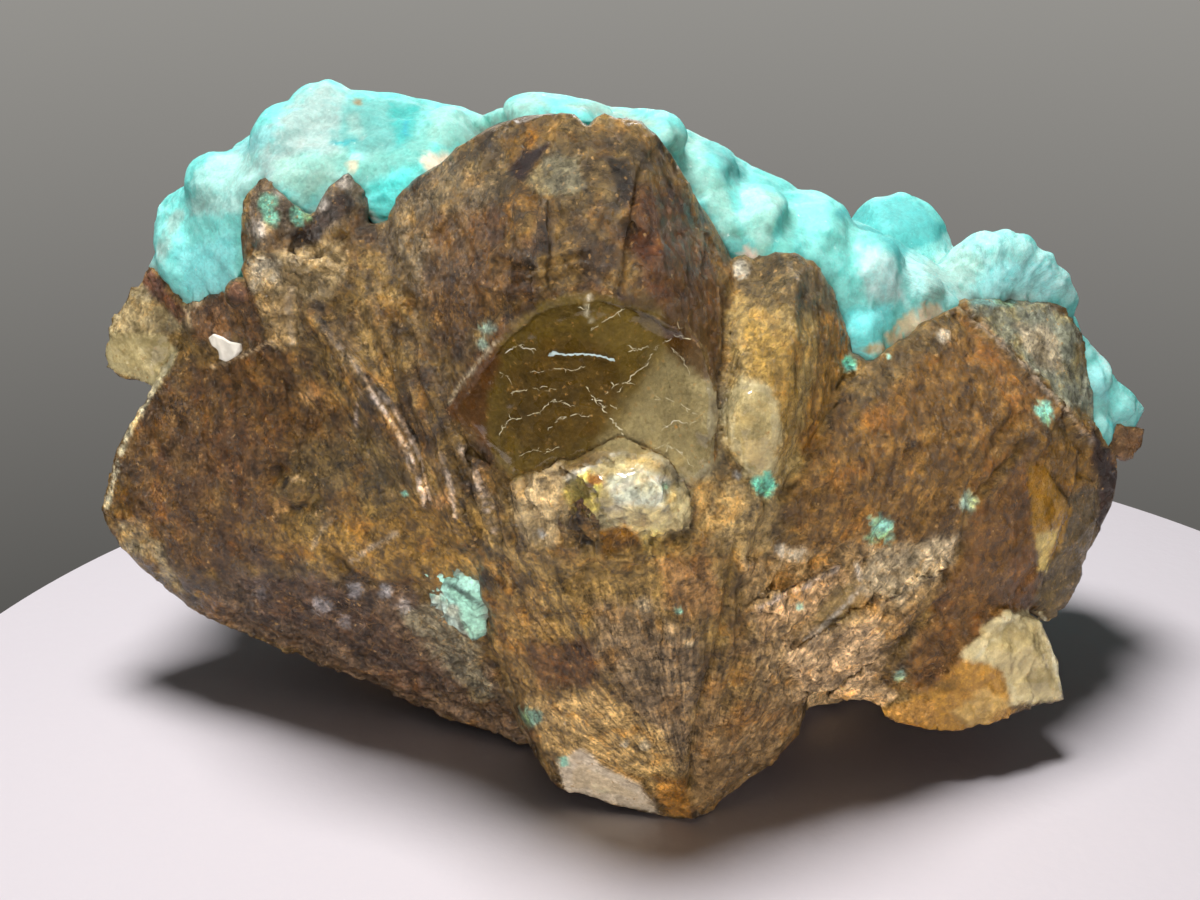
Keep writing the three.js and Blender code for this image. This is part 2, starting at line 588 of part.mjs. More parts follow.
const calcite = largest(
  join(crystals.map(block))
    .subtract(join(hollows.map(block)))
    .add(join(windowBlocks.map(block)))
    .subtract(table),
);
const kept = join([...crystals, ...windowBlocks].map((corners) => grown(corners, CRUST_GAP)));
const crust = largest(
  join([
    ...CRUST_SLABS.map((slab) => block(cornersOf(slab))),
    ...FRONT_LUMPS.map(frontLump),
    ...BACK_LUMPS.map(backLump),
    ...FAN_RIM.map(flute),
  ])
    .subtract(kept)
    .subtract(table),
);
const patchFace = cornersOf(PATCH);
const patchRoot = patchFace.map((p) => p.clone().add(at(PATCH_ROOT)));
const patch = largest(block([...patchFace, ...patchRoot]).subtract(kept));

const box = new THREE.Box3();
for (const solid of [calcite, crust, patch]) {
  const { min, max } = solid.boundingBox();
  box.expandByPoint(at(min)).expandByPoint(at(max));
}

const STAINED_CALCITE = new THREE.MeshStandardMaterial({
  color: "#7a5a38",
  roughness: 0.6,
  metalness: 0,
});
const BLUE_CRUST = new THREE.MeshStandardMaterial({
  color: "#7fd8d2",
  roughness: 0.75,
  metalness: 0,
});
const WEATHERED_CRUST = new THREE.MeshStandardMaterial({
  color: "#8fae9f",
  roughness: 0.85,
  metalness: 0,
});

const specimen = new THREE.Group();

function place(name, solid, material) {
  const mesh = new THREE.Mesh(geometryOf(solid), material);
  mesh.name = name;
  mesh.position.set(-(box.min.x + box.max.x) / 2, -(box.min.y + box.max.y) / 2, -box.min.z);
  specimen.add(mesh);
}

place("calcite_cluster", calcite, STAINED_CALCITE);
place("hemimorphite_crust", crust, BLUE_CRUST);
place("hemimorphite_patch", patch, WEATHERED_CRUST);

export default specimen;
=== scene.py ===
"""A hemimorphite on calcite specimen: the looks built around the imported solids."""

import math
from functools import partial
from itertools import product

import bmesh
import bpy
import numpy as np
from mathutils import Matrix, Vector
from mathutils.bvhtree import BVHTree


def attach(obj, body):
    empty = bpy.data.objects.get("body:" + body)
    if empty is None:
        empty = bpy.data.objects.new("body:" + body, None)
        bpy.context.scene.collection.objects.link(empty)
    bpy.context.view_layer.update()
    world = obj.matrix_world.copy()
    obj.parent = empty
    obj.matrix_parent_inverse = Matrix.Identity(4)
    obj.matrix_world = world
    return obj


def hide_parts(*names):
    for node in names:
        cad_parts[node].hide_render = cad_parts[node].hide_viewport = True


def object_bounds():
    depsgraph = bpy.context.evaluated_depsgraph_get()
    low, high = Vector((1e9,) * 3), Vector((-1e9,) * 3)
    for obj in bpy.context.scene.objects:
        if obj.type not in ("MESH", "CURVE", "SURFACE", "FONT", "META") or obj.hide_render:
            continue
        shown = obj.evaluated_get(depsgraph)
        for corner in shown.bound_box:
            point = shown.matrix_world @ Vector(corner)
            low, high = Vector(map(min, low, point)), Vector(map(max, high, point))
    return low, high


bl_info = {
    "name": "Hemimorphite on Calcite",
    "version": (1, 0, 0),
    "blender": (4, 5, 0),
    "location": "3D View > Sidebar > Specimen",
    "description": "Builds the specimen's detailed surfaces around its solids",
    "category": "Object",
}

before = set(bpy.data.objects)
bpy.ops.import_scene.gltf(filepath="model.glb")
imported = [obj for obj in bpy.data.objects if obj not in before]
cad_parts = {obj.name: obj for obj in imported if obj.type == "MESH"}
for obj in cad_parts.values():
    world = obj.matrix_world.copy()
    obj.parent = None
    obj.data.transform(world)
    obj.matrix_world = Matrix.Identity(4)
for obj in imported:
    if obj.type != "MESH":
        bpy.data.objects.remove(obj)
CAD_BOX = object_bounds()

MM = 0.001
SEED = 7

# The front view, in millimetres in the frame: the eye, the angle that it looks down at, and
# the picture's width, centre and focal length in pixels.
EYE = np.array([-3.5067, -185.536, 110.7])
VIEW_TILT = math.radians(22)
VIEW_RIGHT = np.array([1.0, 0.0, 0.0])
VIEW_AHEAD = np.array([0.0, math.cos(VIEW_TILT), -math.sin(VIEW_TILT)])
VIEW_UP = np.array([0.0, math.sin(VIEW_TILT), math.cos(VIEW_TILT)])
PICTURE_WIDTH = 1200
PICTURE_CENTRE = np.array([600.0, 450.0])
FOCAL_PIXELS = 1648.0
SENSOR_WIDTH = 36.0

# The foot that the crystals fan out from and the root of the fluted fan, in millimetres.
FOOT = np.array([7.0, -26.0, 2.0])
FAN_ROOT = np.array([42.5, 3.0, 52.5])

# The solids' centre line lies this far from the one that the lumps are measured from.
LUMP_ORIGIN = np.array([-3.5067, -25.336, 0.0])

# Round lumps of the crust's top and back, in millimetres: centre, radius.
DOMES = [
    (-24, 30, 68.5, 6.4), (-9, 29, 69, 6.2), (8, 29, 67.5, 6), (23, 31, 60, 6),
    (-27, 38, 66, 8.5), (-9, 36, 65, 8.5), (5, 38, 63, 8), (21, 40, 57, 7.6),
    (54, 44, 43, 8), (61, 44, 33, 6.5), (-49, 45, 50, 6.5), (-38, 47, 56, 8.8),
    (-19, 46, 59, 11), (1, 47, 57, 8.6), (15, 47, 51, 10.5), (34, 50, 45, 10.5),
    (50, 50, 34, 8.2), (61, 48, 25, 6), (-50, 47, 38, 7), (-36, 50, 43, 10.5),
    (-18, 52, 45, 9), (-3, 52, 43, 11.5), (15, 53, 37, 9.6), (29, 53, 31, 7.4),
    (41, 52, 27, 8), (53, 49, 21, 6), (-45, 48, 27, 6), (-29, 52, 29, 8),
    (-14, 53, 30, 7.2), (2, 54, 27, 6.4), (14, 54, 24, 5.6), (-22, 52, 19, 5.4),
]
DOME_FLATNESS = 0.8

# Hollows between the solids' faces that the real surface bridges: share filled, outline's pixels.
FILLED = [
    (1.0, [
        (510, 168), (518, 148), (536, 132), (562, 127), (582, 136), (586, 160), (572, 182),
        (536, 188), (514, 184)]),
    (1.0, [(558, 505), (578, 498), (598, 516), (606, 545), (590, 562), (566, 554), (556, 528)]),
]

# Round crumbs that close small gaps between crystals: the pixel and the radius in millimetres.
CRUMBS = [
    (723, 448, 1.5), (731, 463, 1.5), (748, 484, 1.2), (754, 593, 1.5), (768, 587, 1.4),
    (562, 470, 1.2),
    (554, 476, 1.0), (852, 369, 1.8), (743, 272, 1.6), (240, 294, 1.8), (297, 217, 1.3),
    (767, 500, 1.4),
]

# Raised lines and grooves of the calcite's front: name, half width in pixels, height in
# millimetres (below zero is a groove), and the line's pixels.
RELIEF = [
    ("crack", 2.6, -0.9, [(641, 172), (633, 215), (628, 250), (625, 292)]),
    ("foot seam", 4.5, -1.2, [
        (738, 540), (733, 590), (722, 640), (708, 690), (697, 735), (692, 792)]),
    ("finger groove", 5, -1.1, [(850, 372), (828, 420), (800, 470), (783, 497)]),
    ("finger edge", 4, -0.7, [(727, 300), (727, 360), (718, 400), (725, 450), (748, 480)]),
    ("plate groove", 4, -0.55, [(268, 346), (279, 384), (292, 443), (297, 463)]),
    ("plate groove", 6, -0.3, [(226, 350), (232, 420), (242, 500)]),
    ("plate groove", 5, -0.3, [(190, 380), (200, 450), (205, 520)]),
    ("streak groove", 3, -0.12, [(322, 322), (352, 372), (384, 425), (404, 480)]),
    ("streak groove", 3, -0.13, [(336, 318), (368, 370), (400, 428), (420, 490)]),
    ("streak groove", 3, -0.2, [(350, 330), (384, 384), (414, 436), (436, 500)]),
    ("long groove", 5, -0.8, [(409, 300), (412, 376), (432, 415), (457, 463), (473, 530)]),
    ("blade", 3, 0.5, [(441, 450), (452, 490), (462, 540)]),
    ("blade", 3, 0.6, [(457, 440), (476, 480), (492, 530)]),
    ("blade gap", 3, -0.8, [(466, 452), (486, 496), (500, 540)]),
    ("blade gap", 3, -0.7, [(448, 452), (462, 495), (473, 540)]),
    ("step", 3, 0.5, [(522, 195), (520, 240), (513, 290)]),
    ("step", 3.5, -0.55, [(533, 195), (532, 240), (528, 282)]),
    ("step", 3, 0.4, [(545, 190), (544, 240), (540, 275)]),
    ("ripple", 2.2, 0.3, [(516, 262), (545, 258), (585, 250)]),
    ("ripple", 2.2, -0.3, [(514, 268), (545, 265), (590, 256)]),
    ("ripple", 2.2, 0.3, [(512, 275), (545, 272), (588, 262)]),
    ("ripple", 2.2, -0.3, [(511, 282), (540, 280), (580, 271)]),
    ("right ridge", 4, 0.5, [(964, 306), (1020, 359), (1064, 406), (1096, 444)]),
    ("right ridge groove", 4, -0.5, [(956, 312), (1010, 366), (1052, 412), (1086, 452)]),
    ("flank line", 4, -0.9, [
        (1031, 444), (1002, 473), (973, 505), (967, 543), (935, 590), (900, 640)]),
    ("ridge gap", 5, -1.0, [(745, 603), (790, 578), (847, 553)]),
    ("lower gap", 5, -0.9, [(886, 613), (918, 592), (948, 568)]),
    ("lower gap", 4, -0.5, [(905, 640), (880, 672), (830, 702)]),
    ("foot step", 3.5, -0.9, [(692, 740), (718, 733), (742, 731)]),
    ("foot step", 3, -0.6, [(702, 764), (730, 757), (762, 755)]),
    ("left fold", 4, -0.5, [(144, 512), (160, 550), (177, 585)]),
    ("left fold", 3, 0.4, [(103, 508), (120, 520), (128, 519)]),
    ("column crack", 2.5, -0.4, [(262, 282), (285, 290), (312, 285)]),
    ("column crack", 2.5, -0.4, [(268, 316), (290, 322), (303, 320)]),
    ("column crack", 3, -0.6, [(296, 280), (290, 305), (293, 345)]),
    ("pale ledge", 3, 0.5, [(212, 365), (245, 352), (272, 341)]),
    ("right flank groove", 4, -0.5, [(1046, 560), (1020, 590), (1008, 640)]),
    ("under line", 3, -0.4, [(355, 583), (395, 620), (440, 665), (500, 700)]),
    ("under line", 2.5, 0.4, [(415, 632), (440, 640), (470, 700), (500, 715)]),
    ("knob", 9, 1.7, [(286, 486), (290, 492)]),
    ("knob ring", 4.5, -1.1, [(270, 470), (276, 508), (296, 514), (312, 500), (310, 478)]),
    ("pit", 5, -0.9, [(272, 468), (281, 472)]),
    ("rib gap", 3, -0.9, [(522, 482), (534, 515), (540, 545)]),
    ("rib gap", 2.5, -0.7, [(540, 480), (552, 510), (560, 540)]),
    ("rib", 3, 0.5, [(514, 484), (526, 515), (533, 545)]),
]

# The calcite's front, painted in order: name, colour, soft edge in pixels, strength,
# roughness, clearness and the corners' pixels.
CALCITE_AREAS = [
    ("plate", "#593a12", 30, 0.7, 0.5, 0, [
        (180, 370), (270, 340), (330, 420), (400, 520), (300, 560), (180, 570), (110, 540),
        (110, 460)]),
    ("plate rust", "#533212", 30, 0.5, 0.5, 0, [(200, 430), (250, 420), (270, 480), (200, 480)]),
    ("ochre band", "#937030", 26, 0.85, 0.5, 0, [
        (245, 530), (330, 515), (380, 490), (450, 500), (480, 530), (475, 572), (410, 578),
        (330, 566)]),
    ("ochre rim", "#af9e76", 14, 0.7, 0.5, 0, [
        (118, 520), (150, 530), (180, 590), (150, 560), (116, 550)]),
    ("left knob", "#684c19", 6, 0.9, 0.45, 0, [
        (104, 520), (116, 470), (130, 480), (134, 515), (118, 522)]),
    ("greenish plate", "#665732", 24, 0.6, 0.5, 0, [
        (300, 440), (380, 440), (420, 500), (380, 520), (300, 540), (270, 500)]),
    ("underside", "#5f4b38", 10, 1, 0.42, 0, [
        (190, 612), (233, 573), (310, 574), (356, 585), (412, 580), (440, 640), (490, 665),
        (530, 745), (420, 712), (340, 676), (284, 645)]),
    ("underside wine", "#4d392b", 12, 0.8, 0.42, 0, [
        (240, 582), (330, 580), (380, 620), (460, 690), (420, 700), (330, 640), (260, 620)]),
    ("underside brown", "#857d65", 12, 0.8, 0.45, 0, [
        (400, 610), (440, 600), (470, 640), (500, 700), (480, 700), (430, 650)]),
    ("yellow block", "#e0d19d", 6, 1, 0.35, 0.45, [
        (102, 330), (160, 333), (180, 352), (156, 388), (104, 368)]),
    ("yellow block top", "#a79770", 8, 1, 0.4, 0.15, [
        (106, 318), (136, 282), (178, 300), (184, 332), (130, 334), (104, 330)]),
    ("orange cleft", "#d4ba92", 8, 0.8, 0.45, 0, [(182, 306), (200, 300), (204, 326), (186, 330)]),
    ("purple left", "#694736", 5, 1, 0.38, 0, [
        (146, 260), (166, 290), (188, 314), (180, 324), (150, 294), (138, 276)]),
    ("rust cleft", "#714f2f", 8, 0.9, 0.4, 0, [
        (188, 312), (215, 300), (238, 322), (225, 345), (195, 340)]),
    ("purple right", "#614525", 5, 1, 0.35, 0, [
        (226, 282), (242, 277), (258, 306), (262, 342), (240, 340), (222, 308)]),
    ("column", "#af976b", 10, 0.95, 0.35, 0.12, [
        (244, 258), (262, 248), (345, 240), (345, 275), (325, 300), (300, 300), (293, 345),
        (268, 345), (262, 300)]),
    ("column foot", "#bd9f6d", 8, 0.9, 0.4, 0.1, [(262, 295), (296, 300), (293, 343), (270, 343)]),
    ("column pale", "#d7ccb3", 8, 0.8, 0.35, 0.1, [(245, 262), (275, 255), (280, 285), (255, 290)]),
    ("tips", "#60523f", 8, 1, 0.42, 0, [
        (238, 240), (262, 176), (300, 205), (348, 170), (364, 185), (356, 215), (300, 250),
        (250, 252)]),
    # The tip hollow's near-black is painted shade in the hollow between the tips.
    ("tip hollow", "#231612", 6, 0.85, 0.5, 0, [
        (290, 238), (322, 205), (345, 190), (352, 205), (310, 245)]),
    ("central left", "#7e6e52", 26, 0.7, 0.42, 0, [
        (385, 215), (450, 150), (500, 180), (480, 260), (440, 300), (395, 270)]),
    ("central rust", "#573814", 24, 0.7, 0.48, 0, [
        (430, 220), (510, 200), (520, 300), (450, 350), (420, 300)]),
    ("central right", "#4e2d12", 20, 0.8, 0.45, 0, [
        (625, 180), (680, 190), (725, 290), (715, 340), (640, 290)]),
    ("central top", "#4e4129", 16, 0.7, 0.42, 0, [
        (452, 150), (540, 112), (620, 120), (660, 160), (600, 220), (500, 200)]),
    ("orange top", "#775721", 10, 0.8, 0.45, 0, [(500, 140), (530, 128), (540, 150), (510, 165)]),
    ("grey glint", "#6e6851", 8, 1, 0.2, 0.1, [
        (522, 184), (545, 156), (576, 158), (588, 190), (545, 197)]),
    # The dark notch is painted shade: its hollow is filled above, and dark paint stands in for the
    # shade.
    ("dark notch", "#201412", 5, 1, 0.4, 0, [
        (506, 174), (526, 150), (550, 144), (538, 162), (522, 182)]),
    ("dark panel", "#131212", 8, 0.8, 0.42, 0, [(612, 160), (630, 160), (634, 200), (616, 210)]),
    ("window lip", "#462c12", 7, 0.8, 0.42, 0, [
        (500, 322), (520, 305), (560, 290), (592, 283), (640, 300), (640, 312), (590, 296),
        (520, 318)]),
    ("window left", "#623d12", 10, 0.9, 0.5, 0, [
        (500, 320), (520, 330), (500, 380), (490, 460), (446, 412), (462, 382)]),
    ("window", "#6a571c", 10, 1, 0.6, 0, [
        (508, 330), (540, 300), (585, 292), (640, 305), (680, 320), (714, 380), (716, 460),
        (690, 480), (640, 440), (560, 462), (510, 482), (488, 440), (492, 380)]),
    ("window deep", "#5b4512", 16, 0.8, 0.6, 0, [
        (540, 340), (610, 340), (620, 400), (600, 440), (540, 460), (505, 430), (510, 370)]),
    ("window honey", "#aca27f", 34, 0.9, 0.6, 0, [
        (634, 392), (664, 352), (704, 350), (716, 392), (716, 470), (694, 488), (645, 466),
        (600, 452), (612, 424)]),
    ("window wall", "#523612", 10, 0.9, 0.5, 0, [
        (655, 300), (700, 300), (722, 340), (718, 385), (690, 370), (665, 350)]),
    ("window smoke", "#816f39", 14, 0.6, 0.6, 0, [(585, 300), (660, 310), (660, 360), (600, 350)]),
    ("pale ribs", "#baa277", 6, 1, 0.35, 0.1, [
        (510, 486), (560, 462), (572, 500), (560, 545), (530, 550), (516, 520)]),
    ("pale block", "#c5b685", 7, 1, 0.28, 0.3, [
        (562, 480), (612, 455), (650, 462), (692, 488), (690, 530), (640, 545), (590, 520)]),
    ("amber", "#f1db72", 5, 0.9, 0.3, 0.2, [
        (560, 490), (590, 470), (602, 480), (598, 512), (575, 512)]),
    ("white block", "#ccd6cd", 7, 0.85, 0.25, 0.25, [
        (604, 478), (640, 466), (672, 480), (664, 508), (618, 506)]),
    ("brown block", "#8a5d12", 5, 1, 0.3, 0.1, [
        (600, 533), (625, 522), (640, 535), (653, 566), (602, 562)]),
    ("block foot", "#f1d77f", 6, 0.9, 0.35, 0.15, [(640, 535), (662, 530), (664, 565), (652, 575)]),
    ("finger", "#9c844f", 12, 1, 0.4, 0.1, [
        (728, 290), (790, 280), (848, 330), (848, 375), (800, 470), (770, 490), (724, 450)]),
    ("finger top", "#655536", 12, 1, 0.45, 0, [
        (730, 300), (740, 262), (782, 248), (820, 262), (848, 320), (790, 312), (760, 300)]),
    ("finger right", "#876328", 8, 0.9, 0.45, 0, [
        (820, 300), (850, 325), (850, 372), (826, 420), (805, 455), (795, 440), (815, 380)]),
    ("finger gold", "#9f7f3a", 8, 0.8, 0.4, 0.1, [
        (745, 320), (800, 330), (800, 400), (790, 440), (750, 380)]),
    ("finger face", "#c8b989", 8, 1, 0.16, 0.35, [
        (722, 405), (740, 378), (775, 385), (782, 430), (770, 482), (745, 478), (724, 440)]),
    ("under finger", "#a48a59", 10, 0.9, 0.42, 0, [
        (690, 480), (745, 480), (780, 500), (770, 560), (735, 560), (700, 530)]),
    ("fan middle", "#896e3c", 18, 0.9, 0.48, 0, [
        (520, 540), (600, 560), (700, 520), (735, 560), (715, 650), (640, 640), (560, 640)]),
    ("fan rust", "#a37948", 12, 0.8, 0.48, 0, [(655, 560), (705, 555), (720, 610), (680, 620)]),
    ("foot left", "#866836", 14, 0.9, 0.48, 0, [
        (485, 590), (540, 590), (570, 660), (560, 700), (520, 700), (492, 650)]),
    ("foot dark", "#5a381b", 10, 0.75, 0.5, 0, [(520, 645), (590, 640), (600, 690), (540, 690)]),
    ("fan stripes", "#816c51", 16, 0.85, 0.45, 0, [
        (590, 600), (650, 610), (700, 640), (694, 740), (680, 780), (640, 720), (600, 660)]),
    ("foot amber", "#bf9d64", 14, 0.85, 0.42, 0, [
        (530, 700), (600, 690), (660, 730), (690, 800), (650, 790), (560, 760), (536, 730)]),
    ("foot clear", "#f1dec2", 5, 1, 0.18, 0.4, [
        (556, 762), (580, 750), (640, 785), (660, 815), (566, 795)]),
    ("foot rust", "#af7932", 7, 0.9, 0.4, 0, [(650, 775), (686, 780), (692, 820), (666, 812)]),
    ("foot right", "#866a45", 14, 0.9, 0.48, 0, [
        (700, 690), (740, 640), (800, 660), (806, 720), (760, 780), (700, 820), (692, 790)]),
    ("foot right amber", "#6e562a", 12, 0.7, 0.45, 0, [
        (715, 660), (760, 650), (770, 700), (720, 710)]),
    ("right crystal", "#7a5826", 26, 0.85, 0.48, 0, [
        (790, 500), (860, 370), (950, 315), (1040, 400), (1030, 440), (960, 520), (880, 580),
        (800, 560)]),
    ("right top edge", "#645536", 12, 0.7, 0.45, 0, [
        (850, 380), (900, 345), (950, 308), (960, 330), (900, 380), (850, 420)]),
    ("right orange", "#825e31", 12, 0.8, 0.45, 0, [
        (965, 320), (1000, 345), (1060, 410), (1040, 425), (1000, 390), (970, 350)]),
    ("right lower", "#b09164", 16, 0.85, 0.45, 0, [
        (740, 560), (850, 545), (960, 545), (900, 640), (820, 700), (760, 690)]),
    ("right grey", "#ccb996", 14, 0.8, 0.35, 0.05, [
        (880, 550), (960, 535), (955, 565), (900, 600), (850, 590)]),
    ("red ridge", "#d5ad7c", 9, 0.9, 0.4, 0, [
        (755, 612), (840, 566), (850, 580), (800, 620), (765, 640)]),
    ("clear pits", "#8c7549", 7, 0.9, 0.2, 0.25, [
        (830, 590), (858, 580), (862, 610), (835, 640), (815, 620)]),
    ("pink foot", "#d4b288", 14, 0.7, 0.42, 0, [(780, 640), (880, 620), (880, 690), (800, 700)]),
    ("pale hem", "#deba89", 5, 0.9, 0.4, 0, [
        (806, 690), (880, 688), (900, 694), (880, 706), (808, 708)]),
    ("right flank", "#6e4b1e", 14, 0.95, 0.35, 0.12, [
        (975, 510), (1030, 450), (1046, 560), (1020, 640), (940, 700), (900, 690), (935, 600)]),
    ("flank rust", "#71431a", 12, 0.35, 0.4, 0, [
        (1010, 560), (1044, 545), (1046, 610), (1012, 640)]),
    ("flank upper", "#825f26", 10, 0.9, 0.35, 0.1, [
        (1035, 430), (1090, 450), (1100, 480), (1080, 500), (1040, 470)]),
    ("right plate", "#7b7e6c", 10, 1, 0.45, 0, [
        (962, 302), (1030, 300), (1080, 320), (1084, 360), (1100, 420), (1060, 400), (1010, 350)]),
    ("plate pale", "#ab9c7f", 9, 0.8, 0.42, 0, [
        (1015, 325), (1050, 325), (1062, 370), (1035, 365)]),
    ("speckled rim", "#6c958f", 4, 0.9, 0.6, 0, [(966, 304), (975, 296), (1012, 297), (1016, 306)]),
    ("right edge", "#241212", 8, 0.9, 0.42, 0, [
        (1090, 430), (1120, 455), (1118, 490), (1100, 540), (1085, 530), (1096, 480)]),
    ("grey plate", "#62502e", 5, 1, 0.16, 0.15, [
        (1062, 500), (1100, 480), (1096, 540), (1070, 612), (1040, 628), (1034, 600), (1050, 550)]),
    ("golden plate", "#ab7e25", 4, 1, 0.2, 0.3, [
        (1028, 462), (1046, 470), (1072, 510), (1060, 548), (1042, 572), (1033, 540)]),
    ("golden plate foot", "#f1d378", 5, 0.9, 0.22, 0.3, [
        (1036, 535), (1058, 530), (1046, 570), (1038, 572)]),
    ("golden block", "#b1802b", 6, 1, 0.25, 0.25, [
        (878, 712), (930, 690), (965, 660), (1010, 655), (1012, 720), (960, 738), (885, 730)]),
    ("golden block top", "#e4d29d", 6, 1, 0.2, 0.4, [
        (960, 655), (1005, 612), (1042, 612), (1068, 700), (1010, 705), (1005, 670)]),
    ("golden block pale", "#d5af65", 7, 0.8, 0.22, 0.35, [
        (950, 712), (985, 688), (1010, 700), (980, 730)]),
    ("golden block rust", "#a97b3b", 6, 0.8, 0.3, 0.05, [
        (884, 708), (935, 696), (930, 726), (890, 728)]),
    ("far right crystal", "#7a5a39", 5, 1, 0.3, 0.1, [
        (1110, 415), (1150, 415), (1150, 462), (1112, 464)]),
]

# The clearness from which an area is smooth.
GLASSY = 0.25

# Where growth lines show on the calcite: strength, soft edge in pixels and the corners' pixels.
FIBROUS = [
    (1.0, 24, [
        (290, 280), (350, 320), (420, 400), (500, 500), (520, 560), (470, 560), (400, 470),
        (325, 390)]),
    (1.0, 20, [
        (500, 560), (600, 580), (700, 600), (720, 640), (694, 800), (640, 740), (540, 640),
        (480, 560)]),
    (0.8, 20, [(540, 700), (600, 690), (680, 730), (690, 810), (600, 780)]),
    (0.7, 20, [(700, 690), (740, 640), (800, 660), (806, 720), (700, 820)]),
    (0.8, 24, [(740, 560), (850, 545), (960, 545), (900, 640), (820, 700), (760, 690)]),
    (0.6, 40, [(800, 500), (880, 380), (960, 320), (1040, 400), (960, 520), (880, 580)]),
    (0.6, 20, [(730, 300), (790, 280), (848, 330), (848, 375), (770, 490), (724, 450)]),
    (0.7, 16, [(250, 258), (345, 240), (330, 300), (268, 345)]),
    (0.6, 24, [(500, 170), (560, 160), (600, 200), (600, 290), (510, 290)]),
]

# Where calcite has broken into steps and blocks: size and height in millimetres, contrast, soft
# edge in pixels and the corners' pixels.
BLOCKY = [
    (3.0, 1.5, 1.0, 6, [
        (515, 478), (600, 452), (655, 455), (696, 485), (690, 545), (655, 570), (560, 545),
        (522, 530)]),
    (4.4, 1.0, 0.6, 12, [(190, 612), (233, 573), (412, 580), (490, 665), (530, 745), (340, 676)]),
    (5.0, 0.9, 0.4, 10, [(878, 712), (1005, 612), (1042, 612), (1068, 700), (960, 738)]),
    (3.6, 1.4, 0.5, 16, [(740, 560), (960, 545), (935, 600), (960, 690), (760, 700)]),
    (5.0, 1.0, 0.4, 10, [(104, 330), (136, 282), (180, 320), (170, 390)]),
    (3.0, 1.3, 0.5, 10, [
        (244, 258), (262, 248), (345, 240), (345, 275), (300, 300), (293, 345), (262, 340)]),
    (4.5, 0.7, 0.35, 16, [(630, 560), (720, 560), (700, 650), (620, 640)]),
    (3.0, 0.7, 0.4, 10, [(480, 580), (560, 600), (580, 700), (500, 690)]),
    (2.6, 0.6, 0.3, 8, [(430, 610), (480, 640), (530, 745), (440, 700)]),
]

# Thin marks on the calcite: name, colour, half width in pixels, strength, the line's pixels.
CALCITE_LINES = [
    ("left rim", "#cdc5a4", 2.4, 0.9, [
        (173, 357), (156, 384), (142, 409), (130, 429), (118, 461), (107, 506)]),
    # The knob ring is painted shade in the groove round the knob; the pale line on the knob's top
    # is a painted highlight.
    ("knob ring", "#1f150b", 2.2, 0.9, [
        (288, 477), (283, 488), (285, 501), (296, 508), (307, 503)]),
    ("knob highlight", "#c2a273", 1.4, 0.9, [(291, 482), (297, 477), (304, 480)]),
    ("cleavage", "#e9dfb8", 1.2, 0.8, [(1019, 613), (998, 634), (972, 662)]),
    ("cleavage", "#6e5a30", 1, 0.7, [(1008, 632), (1011, 664), (1010, 704)]),
    ("cleavage", "#efe7c8", 1, 0.8, [(1044, 617), (1052, 650), (1062, 700)]),
    ("pale ledge", "#cbb592", 1.5, 0.7, [(212, 367), (245, 354), (272, 342)]),
    ("column edge", "#cdb796", 2.5, 0.8, [(291, 285), (288, 310), (292, 342)]),
    # The streaks and the blade glints are painted highlights: pale lines where the fine ridges
    # catch the light.
    ("streak", "#b8a592", 1.0, 0.45, [(318, 318), (345, 354), (358, 372)]),
    ("streak", "#d8c6b8", 1.5, 0.9, [
        (372, 396), (384, 412), (396, 430), (408, 450), (417, 472), (425, 506)]),
    ("streak", "#cdbbab", 1.0, 0.6, [(350, 356), (366, 380), (380, 404), (400, 440), (410, 468)]),
    ("streak", "#c4b2a2", 1.2, 0.8, [(380, 392), (400, 420), (420, 458), (430, 500)]),
    ("streak", "#cdb9aa", 1.2, 0.8, [(361, 390), (357, 408), (356, 426)]),
    ("streak", "#c8b2a2", 1.2, 0.8, [(388, 398), (404, 424), (414, 440)]),
    ("blade glint", "#cbb5a0", 1.3, 0.8, [(441, 452), (450, 486), (456, 520)]),
    ("blade glint", "#d0bca8", 1.3, 0.8, [(458, 442), (478, 484), (494, 532)]),
    ("blade glint", "#c0a890", 1.2, 0.7, [(476, 470), (492, 505), (498, 530)]),
    ("plate line", "#b9a58a", 2, 0.7, [(350, 562), (372, 548), (396, 533)]),
    ("plate line", "#b7a283", 2, 0.6, [(312, 548), (322, 530), (330, 520)]),
    ("right ridge", "#a99680", 2.4, 0.7, [(962, 308), (1018, 358), (1062, 406), (1092, 442)]),
    ("window rim", "#cbbd9f", 1.4, 0.7, [(502, 336), (478, 362), (461, 384), (448, 404)]),
    ("window veil", "#d9d7cb", 2, 0.7, [(589, 296), (586, 312), (592, 322)]),
    ("block edge", "#f0ead8", 2, 0.9, [(566, 478), (600, 462), (618, 452)]),
    ("block edge", "#f0ead8", 2, 0.8, [(610, 492), (640, 480), (668, 478)]),
    ("block edge", "#e8dfc6", 2, 0.8, [(606, 508), (640, 500), (664, 496)]),
    ("lower clear rim", "#d8cdbd", 1.8, 0.9, [(806, 640), (835, 616), (862, 588), (856, 560)]),
    ("ridge pale", "#ccb8a8", 2.2, 0.8, [(760, 608), (800, 588), (838, 568)]),
    ("golden rim", "#efe6bf", 2, 0.9, [(1038, 612), (1050, 640), (1062, 690)]),
    ("golden crest", "#eadfb5", 2, 0.8, [(998, 640), (1006, 618), (1030, 612)]),
]

